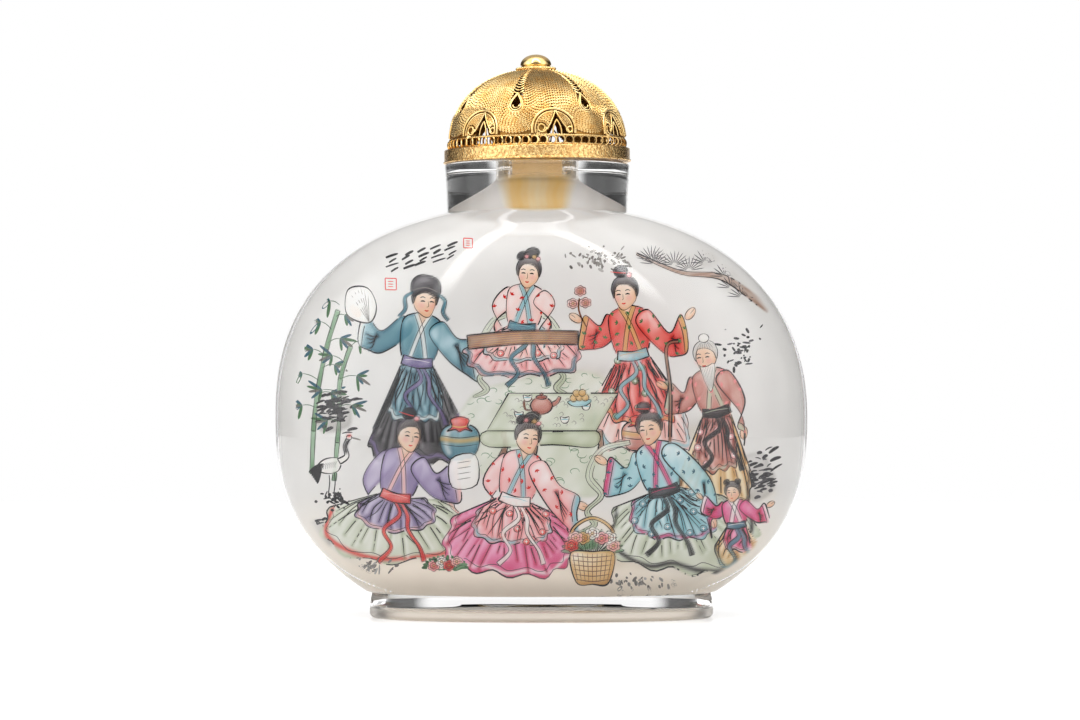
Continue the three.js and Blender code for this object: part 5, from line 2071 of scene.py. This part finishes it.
@dataclass(frozen=True)
class FiligreeDome:
    """Seven petals of nested twisted wire over a thin shell, with teardrops, and arches over the seams."""

    seat: StopperSeat
    surface: DomeSurface
    row_pitch: float = 0.36
    first_row: float = 0.19
    slit_top_half: float = 0.3
    slit_end_half: float = 0.72
    teardrop_z: float = 72.2
    teardrop_half: float = 0.86
    teardrop_height: float = 2.8
    teardrop_margin: float = 0.42
    rims: tuple[tuple[float, float], ...] = ((0.0, 0.1), (0.27, 0.04))
    crescent_reach: float = 0.45
    crescent_pitch: float = 0.62
    crescent_sag: float = 0.5
    crescent_lift: float = 0.04
    first_crescent: float = 0.7
    slit_start: float = 0.8
    swag_clearance: float = 0.3
    hoop_radius: float = 3.1
    hoop_z: float = 68.6
    hoop_lift: float = 0.16
    inner_hoop_inset: float = 0.42
    inner_hoop_lift: float = 0.1
    lobe_inset: float = 0.12
    lobe_pitch: float = 0.26
    lobe_lift: float = 0.02
    curls: tuple[tuple[int, Place, float], ...] = ((-1, (-1.72, 0.3), 0.66), (1, (2.3, 0.1), 0.48))
    gap_middle: float = 0.4
    gap_reach: float = 1.85
    gap_lean: float = 0.15
    step: float = 0.1
    shell_inset: float = 0.2
    shell_wall: float = 0.4
    shell_rows: int = 58
    petal_columns: int = 50
    row_wire: Wire = Wire(0.185, sides=5, twist_pitch=0.46, flattening=0.35)
    fine_wire: Wire = Wire(0.13, sides=5, twist_pitch=0.4)
    crescent_wire: Wire = Wire(0.1, sides=6)
    rim_wire: Wire = Wire(0.11, sides=8)
    hoop_wire: Wire = Wire(0.17, sides=10)

    @property
    def end_drop(self) -> float:
        """Length from the crown to the dome's lower edge."""
        return self.surface.drop_at(self.seat.dome_z)

    @property
    def bend_drop(self) -> float:
        """Length from the crown to the middle of the teardrop's round end."""
        return self.surface.drop_at(self.teardrop_z)

    @property
    def hoop_drop(self) -> float:
        """Length from the crown to the middle of an arch."""
        return self.surface.drop_at(self.hoop_z)

    @property
    def half_bend(self) -> float:
        """Distance from a petal's middle to its seam, beside the teardrop's round end."""
        return float(self.half_petal(np.float64(self.bend_drop)))

    @property
    def widest_row(self) -> float:
        """Distance from the seam to the last row, which runs beside the teardrop."""
        return self.half_bend - self.teardrop_half - 0.3

    @property
    def slit_end(self) -> float:
        """Length from the crown to the teardrop's point, where the slit above it ends."""
        return self.bend_drop + self.teardrop_half - self.teardrop_height

    def half_slit(self, drop: np.ndarray) -> np.ndarray:
        """Half-width of a petal's slit, which widens downwards."""
        widening = self.slit_end_half - self.slit_top_half
        return self.slit_top_half + widening * np.clip(drop / self.slit_end, 0, 1)

    def half_petal(self, drop: np.ndarray) -> np.ndarray:
        """Distance from a petal's middle to its seam, at a length down from the crown."""
        return self.surface.radius_at(drop) * math.pi / self.surface.petals

    def spaced(self, across: np.ndarray, drop: np.ndarray) -> tuple[np.ndarray, np.ndarray]:
        """The same line with its points about one step apart."""
        along = np.concatenate([[0], np.cumsum(np.hypot(np.diff(across), np.diff(drop)))])
        even = np.linspace(0, along[-1], max(int(along[-1] / self.step), 3))
        return np.interp(even, along, across), np.interp(even, along, drop)

    def row(self, inset: float) -> tuple[np.ndarray, np.ndarray]:
        """One nested U: down beside the seam, round under the teardrop and up the other side.

        The legs keep a fixed distance from the seams. The bend is half an ellipse about the teardrop, as deep
        as lowest + (teardrop - lowest) * share, so that the rows draw closer together under it.

        Args:
            inset: distance from the seam.

        Returns:
            Distances across and down.
        """
        drops = np.linspace(0, self.bend_drop, 200)
        half = self.half_petal(drops) - inset
        leg = half > self.half_slit(drops)
        turn = np.linspace(0, math.pi, 120)[1:-1]
        wide = self.half_bend - inset
        share = (inset - self.first_row) / (self.widest_row - self.first_row)
        lowest = self.end_drop - self.swag_clearance - self.bend_drop - self.first_row
        deep = lowest + (self.teardrop_half + self.teardrop_margin - lowest) * share
        across = np.concatenate([-half[leg], -wide * np.cos(turn), half[leg][::-1]])
        drop = np.concatenate([drops[leg], self.bend_drop + deep * np.sin(turn), drops[leg][::-1]])
        return self.spaced(across, drop)

    def clear_of_arches(self, across: np.ndarray, drop: np.ndarray) -> np.ndarray:
        """Whether each point lies outside the arches at both seams of its petal."""
        beside = self.half_petal(drop) - np.abs(across)
        return np.hypot(beside, drop - self.hoop_drop) > self.hoop_radius + self.hoop_wire.radius / 2

    def teardrop(self, turn: np.ndarray, grow: float) -> tuple[np.ndarray, np.ndarray]:
        """A teardrop, pointed on top: across = a sin(t) sin(t/2)^1.5 and drop = middle - b cos(t)."""
        half_long = self.teardrop_height / 2 + grow
        middle = self.bend_drop + self.teardrop_half - self.teardrop_height / 2
        across = (self.teardrop_half + grow) * 1.28 * np.sin(turn) * np.abs(np.sin(turn / 2)) ** 1.5
        return across, middle - half_long * np.cos(turn)

    def gap_edge(self, rise: np.ndarray, side: np.ndarray | float) -> np.ndarray:
        """Where the open gap inside an arch ends on one side, by the height over the arch's middle.

        The gap leans: edge = middle + side * reach * share^1.3, where share grows from the arch's top and
        the reach is wider on the right.

        Args:
            rise: height over the middle.
            side: -1 for the left edge, 1 for the right.

        Returns:
            Distance across from the middle.
        """
        top = self.hoop_radius * 0.9
        share = np.clip((top - rise) / (top + 0.6), 0, 1)
        return self.gap_middle + side * (self.gap_reach + self.gap_lean * side) * share**1.3

    def draw(self, shape: Shape, wire: Wire, middle: float, across: np.ndarray, drop: np.ndarray,
             lift: float = 0, closed: bool = False) -> None:
        """Lays a wire on the dome."""
        points, up = self.surface.at(middle, across, drop, lift)
        wire.sweep(shape, points, up, closed)

    def petal_rows(self, shape: Shape, middle: float) -> None:
        """Lays one petal's nested rows, cut where they meet the arches.

        Args:
            shape: what they are added to.
            middle: the petal's middle angle.
        """
        for inset in np.arange(self.first_row, self.widest_row, self.row_pitch):
            across, drop = self.row(inset)
            keep = self.clear_of_arches(across, drop)
            for run in np.split(np.arange(len(keep)), np.flatnonzero(np.diff(keep)) + 1):
                if keep[run[0]] and len(run) > 5:
                    self.draw(shape, self.row_wire, middle, across[run], drop[run])

    def petal_slit(self, shape: Shape, middle: float) -> None:
        """Lays the crescents that fill the petal's slit, and the rims of its teardrop with one more inside.

        Each crescent is drop = start + sag * (1 - (across / half)^2). A rim is told by how far it stands
        outside the teardrop and off the dome.

        Args:
            shape: what they are added to.
            middle: the petal's middle angle.
        """
        for start in np.arange(self.first_crescent, self.slit_end - 0.2, self.crescent_pitch):
            half = float(self.half_slit(start))
            across = np.linspace(-half, half, 11)
            drop = start + self.crescent_sag * (1 - (across / half) ** 2)
            self.draw(shape, self.crescent_wire, middle, across, drop, self.crescent_lift)
        turn = np.arange(48) * FULL_TURN / 48
        for grow, lift in self.rims:
            across, drop = self.teardrop(turn, grow)
            self.draw(shape, self.rim_wire, middle, across, drop, lift, closed=True)
        arc = np.linspace(0, math.pi, 20)
        across, drop = self.crescent_reach * np.cos(arc), self.bend_drop + self.crescent_reach * np.sin(arc)
        self.draw(shape, self.crescent_wire, middle, across, drop)

    def arch(self, shape: Shape, seam: float) -> None:
        """Lays one arch over a seam: a hoop, two lobes of fine rows ending in spirals, and a pointed loop.

        Each spiral is told by its side, its middle and its size.

        Args:
            shape: what it is added to.
            seam: the seam's angle.
        """
        hoop = self.hoop_radius
        turn = np.linspace(-0.05 * math.pi, 1.05 * math.pi, 70)
        drop = self.hoop_drop - hoop * np.sin(turn)
        self.draw(shape, self.hoop_wire, seam, hoop * np.cos(turn), drop, self.hoop_lift)
        inner = (hoop - self.inner_hoop_inset) * np.array([np.cos(turn), np.sin(turn)])
        self.draw(shape, self.rim_wire, seam, inner[0], self.hoop_drop - inner[1], self.inner_hoop_lift)
        for side, curl_middle, curl_size in self.curls:
            for k in range(2, 9):
                reach = hoop - self.lobe_inset - self.lobe_pitch * k
                arc = np.linspace(-0.12 * math.pi, math.pi / 2, 60)
                across, rise = side * reach * np.cos(arc), reach * np.sin(arc)
                clear = np.hypot(across - curl_middle[0], rise - curl_middle[1]) > curl_size + 0.12
                inside = (side * (across - self.gap_edge(rise, side)) > 0.2) & clear
                for run in np.split(np.arange(60), np.flatnonzero(np.diff(inside)) + 1):
                    if inside[run[0]] and len(run) > 3:
                        line = self.spaced(across[run], self.hoop_drop - rise[run])
                        self.draw(shape, self.fine_wire, seam, *line, self.lobe_lift)
            rise = np.linspace(hoop * 0.9, curl_middle[1] - 0.25, 26)
            curl = np.linspace(0.95 * math.pi, 3.4 * math.pi, 40)
            size = curl_size * (1 - 0.4 * np.linspace(0, 1, 40))
            across = self.gap_edge(rise, side) + 0.08 * side
            edge = np.concatenate([across, curl_middle[0] + side * size * np.cos(curl)])
            high = np.concatenate([rise, curl_middle[1] + size * np.sin(curl)])
            line = self.spaced(edge, self.hoop_drop - high)
            self.draw(shape, self.rim_wire, seam, *line, self.inner_hoop_lift)
        point = np.linspace(0, 1, 16)
        side_line = 0.62 * (1 - point**2.2)
        across = 0.5 + np.concatenate([side_line, -side_line[-2::-1]])
        rise = np.concatenate([-0.5 + 2.0 * point, (-0.5 + 2.0 * point)[-2::-1]])
        self.draw(shape, self.rim_wire, seam, across, self.hoop_drop - rise, self.lobe_lift)

    def shell(self) -> Shape:
        """The thin shell behind the wires, open at the teardrops and in the arches.

        Faces are left out where their middle lies in an opening. The edges run outer grid, rim, inner grid,
        so the shell is closed round each opening.

        Returns:
            The shell's shape.
        """
        columns, rows = self.surface.petals * self.petal_columns, self.shell_rows
        angle = np.arange(columns) * FULL_TURN / columns
        drop = np.linspace(0, self.end_drop, rows)
        across = np.zeros((rows, columns))
        grids = [
            self.surface.at(angle[None, :] + across, across, drop[:, None] + across, -inset)[0]
            for inset in (self.shell_inset, self.shell_inset + self.shell_wall)
        ]
        quads = grid_faces(rows, columns, wrap=True)
        mid_drop = np.repeat((drop[1:] + drop[:-1]) / 2, columns)
        mid_angle = np.tile(angle + math.pi / columns, rows - 1)
        radius = self.surface.radius_at(mid_drop)
        period = FULL_TURN / self.surface.petals
        from_seam = (mid_angle - self.surface.seam_angle(0) + period / 2) % period - period / 2
        petal_across = (period / 2 - np.abs(from_seam)) * radius
        rise = self.hoop_drop - mid_drop
        side = np.sign(from_seam)
        beside = from_seam * radius * side < side * self.gap_edge(rise, side)
        in_gap = (rise < self.hoop_radius * 0.85) & beside
        outline = np.stack(self.teardrop(np.arange(40) * FULL_TURN / 40, 0), -1)
        in_drop = inside_outline(np.stack([petal_across, mid_drop], -1), outline)
        in_slit = (petal_across < self.half_slit(mid_drop)) & (mid_drop < self.slit_end)
        in_slit &= mid_drop > self.slit_start
        kept = quads[~(in_gap | in_drop | in_slit)]
        count = rows * columns
        edges = np.concatenate([kept[:, [i, (i + 1) % 4]] for i in range(4)])
        keys = edges[:, 0] * count + edges[:, 1]
        back = edges[:, 1] * count + edges[:, 0]
        open_edges = edges[~np.isin(keys, back)]
        start, end = open_edges.T
        walls = np.stack([end, start, start + count, end + count], -1)
        shape = self.seat.shape()
        shape.add(np.stack(grids), kept[:, ::-1], kept + count, walls[:, ::-1])
        return shape

    def build(self, bright: bpy.types.Material, deep: bpy.types.Material) -> None:
        """Makes the shell, the petals and the arches.

        Args:
            bright: finish of the wires.
            deep: finish of the shell behind them, gilt painted dark as shade.
        """
        gilt_piece(self.shell(), "dome_shell", deep, "stopper_dome")
        for k in range(self.surface.petals):
            shape = self.seat.shape()
            middle = self.surface.seam_angle(k + 0.5)
            self.petal_rows(shape, middle)
            self.petal_slit(shape, middle)
            gilt_piece(shape, f"filigree_petal_{k + 1}", bright)
        arches = self.seat.shape()
        for k in range(self.surface.petals):
            self.arch(arches, self.surface.seam_angle(k))
        gilt_piece(arches, "filigree_arches", bright)


@dataclass(frozen=True)
class Finial:
    """The beaded collar on the crown and the smooth knob on it."""

    seat: StopperSeat
    surface: DomeSurface
    collar_radius: float = 2.9
    collar_height: float = 0.42
    stem: float = 0.16
    beads: int = 40
    bead_radius: float = 0.2
    knob_radius: float = 2.23
    knob_height: float = 1.87
    base_height: float = 0.3
    base_inset: float = 0.2

    @property
    def crown_z(self) -> float:
        """Height of the dome's flat crown."""
        return float(self.surface.meridian()[2, 0])

    def build(self, polished: bpy.types.Material) -> None:
        """Makes the collar with its ring of beads, and the knob.

        Args:
            polished: the finish of both.
        """
        foot = self.crown_z + self.seat.gap
        low = foot + self.stem
        high = low + self.collar_height
        disc = self.collar_radius - self.bead_radius
        shape = self.seat.shape()
        profile = [[0, foot], [disc - 0.5, foot], [disc - 0.5, low], [disc, low], [disc, high - 0.05],
                   [disc - 0.05, high], [0, high]]
        shape.add(*turned(np.array(profile), 96))
        turn = np.linspace(-math.pi / 2, math.pi / 2, 7)
        bead = np.stack([self.bead_radius * np.cos(turn), self.bead_radius * np.sin(turn)], -1)
        points, quads, fans = turned(bead, 8)
        for k in range(self.beads):
            angle = FULL_TURN * k / self.beads
            middle = [disc * math.cos(angle), disc * math.sin(angle), (low + high) / 2]
            shape.add(points + middle, quads, fans)
        gilt_piece(shape, "collar", polished, "stopper_collar")
        base = high + self.seat.gap
        rise = np.linspace(0, math.pi / 2, 24)
        foot = np.linspace(0, math.pi / 2, 6)[:-1]
        profile = np.concatenate([
            [[0, base]],
            np.stack([
                self.knob_radius - self.base_inset * np.cos(foot),
                base + self.base_height * np.sin(foot),
            ], -1),
            np.stack([
                self.knob_radius * np.cos(rise),
                base + self.base_height + (self.knob_height - self.base_height) * np.sin(rise),
            ], -1),
        ])
        profile[-1, 0] = 0
        shape = self.seat.shape()
        shape.add(*turned(profile, 96))
        gilt_piece(shape, "knob", polished, "stopper_knob")


# The studio


@dataclass(frozen=True)
class SoftCard:
    """A soft patch of light in one fixed direction, or of shade where its strength is below 0.

    It is round, or a strip of a round one, square to a pole.
    """

    towards: Direction
    half_angle: float
    softness: float
    strength: float
    pole: Direction | None = None
    half_width: float = 4


@dataclass(frozen=True)
class Studio:
    """White surroundings with soft cards, a pale floor and the camera of the photograph."""

    distance: float = 500
    eye_z: float = 36.7
    eye_x: float = -0.2
    lens: float = 116.66
    floor_size: float = 800
    ambient: float = 0.045
    floor_glow: float = 0.3
    floor_tone: Colour = (0.78, 0.78, 0.78)
    floor_ior: float = 1.25
    floor_roughness: tuple[float, float] = (0.22, 0.26)
    cards: tuple[SoftCard, ...] = (
        SoftCard((0, 1, 0.02), 20, 4, 0.94),
        SoftCard((0, -1, 0.6), 70, 12, 1.6),
        SoftCard((0, -1, 0), 38, 12, -1.55),
        SoftCard((0, -1, 0.06), 42, 8, 1.3, (0, 0.06, 1), 6),
        SoftCard((0, 0.5, 1), 42, 12, 0.5),
        SoftCard((-0.93, -0.25, 0.27), 26, 8, 1.05),
        SoftCard((0.93, -0.25, 0.27), 24, 8, 0.6),
        SoftCard((-0.01, -0.22, 0.97), 9, 4, 3.5),
        SoftCard((-0.317, -0.499, 0.807), 26, 8, 6.0, (-0.896, 0.437, -0.081), 3),
        SoftCard((0.315, -0.534, 0.784), 22, 8, 6.0, (0.79, 0.6, 0.09), 3),
    )

    def world(self) -> None:
        """Makes the surroundings: white to the camera, and cards on a dim ground for light and reflections.

        Each card adds strength * ramp(angle to its middle), found from the dot product of directions.
        """
        world = bpy.data.worlds.new("studio")
        bpy.context.scene.world = world
        world.use_nodes = True
        world.node_tree.nodes.clear()
        way = add_node(world, "TexCoord").outputs["Generated"]
        total = None
        for card in self.cards:
            inner, outer = card.half_angle - card.softness, card.half_angle + card.softness
            span = math.cos(math.radians(outer)), math.cos(math.radians(inner))
            light = self.eased(world, self.cosine(world, way, card.towards), span, card.strength)
            if card.pole:
                light = self.strip(world, way, light, card)
            add = add_node(world, "Math", {0: light})
            add.inputs[1].default_value = self.ambient
            if total is not None:
                world.node_tree.links.new(total, add.inputs[1])
            total = add.outputs["Value"]
        lit = add_node(world, "Background", {"Strength": total}, Color=(1, 1, 1, 1)).outputs["Background"]
        white = add_node(world, "Background", Color=(1, 1, 1, 1)).outputs["Background"]
        seen = add_node(world, "LightPath").outputs["Is Camera Ray"]
        mix = add_node(world, "MixShader", {"Fac": seen, 1: lit, 2: white})
        add_node(world, "OutputWorld", {"Surface": mix.outputs["Shader"]})

    @staticmethod
    def cosine(world: bpy.types.World, way: bpy.types.NodeSocket, towards: Direction) -> bpy.types.NodeSocket:
        """Cosine of the angle between the direction looked in and a fixed one: their dot product."""
        dot = add_node(world, "VectorMath", {0: way}, operation="DOT_PRODUCT")
        dot.inputs[1].default_value = unit(np.array(towards))
        return dot.outputs["Value"]

    @staticmethod
    def eased(world: bpy.types.World, value: bpy.types.NodeSocket, span: tuple[float, float],
              strength: float = 1) -> bpy.types.NodeSocket:
        """A smooth ramp from 0 to a strength as a value rises through a span."""
        ramp = add_node(world, "MapRange", {"Value": value}, interpolation_type="SMOOTHSTEP",
                        From_Min=span[0], From_Max=span[1], To_Max=strength)
        return ramp.outputs["Result"]

    def strip(self, world: bpy.types.World, way: bpy.types.NodeSocket, light: bpy.types.NodeSocket,
              card: SoftCard) -> bpy.types.NodeSocket:
        """Keeps a card's light only near the plane square to its pole.

        Args:
            world: the surroundings.
            way: the direction looked in.
            light: the card's light.
            card: the card, with its pole and half-width in degrees.

        Returns:
            The light that is left.
        """
        size = add_node(world, "Math", {0: self.cosine(world, way, card.pole)}, operation="ABSOLUTE")
        span = math.sin(math.radians(card.half_width * 1.5)), math.sin(math.radians(card.half_width * 0.5))
        near = self.eased(world, size.outputs["Value"], span)
        return add_node(world, "Math", {0: light, 1: near}, operation="MULTIPLY").outputs["Value"]

    def floor(self) -> bpy.types.Object:
        """Makes the pale floor, which mirrors the foot faintly."""
        half = self.floor_size / 2
        shape = Shape()
        corners = np.array([[-half, -half, 0], [half, -half, 0], [half, half, 0], [-half, half, 0]])
        shape.add(corners, np.array([[0, 1, 2, 3]]))
        material, shader = new_material("pale_floor")
        place = add_node(material, "TexCoord").outputs["Object"]
        tone = add_node(material, "TexNoise", {"Vector": place}, Scale=2.0)
        least, most = self.floor_roughness
        rough = add_node(material, "MapRange", {"Value": tone.outputs["Fac"]}, To_Min=least, To_Max=most)
        material.node_tree.links.new(rough.outputs["Result"], shader.inputs["Roughness"])
        shader.inputs["Base Color"].default_value = (*self.floor_tone, 1)
        shader.inputs["IOR"].default_value = self.floor_ior
        shader.inputs["Emission Color"].default_value = (1, 1, 1, 1)
        shader.inputs["Emission Strength"].default_value = self.floor_glow
        floor = shape.piece("floor", material)
        return floor

    def camera(self) -> bpy.types.Object:
        """Makes the level camera in front of the bottle."""
        data = bpy.data.cameras.new("camera")
        data.lens = self.lens
        data.clip_start = 0.01
        camera = bpy.data.objects.new("camera", data)
        camera.location = (self.eye_x * MM, -self.distance * MM, self.eye_z * MM)
        camera.rotation_euler = (math.pi / 2, 0, 0)
        bpy.context.scene.collection.objects.link(camera)
        bpy.context.scene.camera = camera
        return camera

    def build(self) -> None:
        """Makes the studio and shows colours as they are."""
        bpy.context.scene.view_settings.view_transform = "Standard"
        self.world()
        self.floor()
        self.camera()


def build_stopper(bottle: GlassBottle) -> None:
    """Makes the stopper's pieces in the order they sit.

    Args:
        bottle: the bottle that it closes.
    """
    seat = StopperSeat(bottle)
    surface = DomeSurface(seat.gallery_z)
    # the wires' hollow colour is painted shade under and between them
    bright = Gilt("gilt_wire", hollow=(0.28, 0.12, 0.025), tone_scale=700).material()
    # the shell behind the wires is gilt painted dark brown, as painted shade
    deep = Gilt("gilt_shell_painted_shade", light=(0.45, 0.24, 0.06), dark=(0.25, 0.11, 0.02), roughness=0.4).material()
    satin = Gilt("gilt_band", light=(1.0, 0.69, 0.3), dark=(0.5, 0.25, 0.07), roughness=0.24, tone_scale=2600,
                 grain_height=0.22).material()
    polished = Gilt("gilt_knob", dark=(0.8, 0.5, 0.18), roughness=0.16, tone_scale=160).material()
    Cork(seat).build()
    # the plate under the dome takes the same painted shade
    plate = bpy.data.objects["stopper_plate"]
    plate.data.materials.clear()
    plate.data.materials.append(deep)
    Band(seat).build(satin)
    Gallery(seat).build(bright)
    FiligreeDome(seat, surface).build(bright, deep)
    Finial(seat, surface).build(polished)


def main() -> None:
    """Builds the pieces round the frame, in order, and the studio."""
    logging.basicConfig(level=logging.INFO, format="%(name)s: %(message)s")
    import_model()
    bottle = GlassBottle()
    LOG.info("made %s", bottle.build().name)
    for made in InnerWall(bottle).build():
        LOG.info("made %s", made.name)
    build_stopper(bottle)
    Studio().build()


if __name__ == "__main__":
    main()
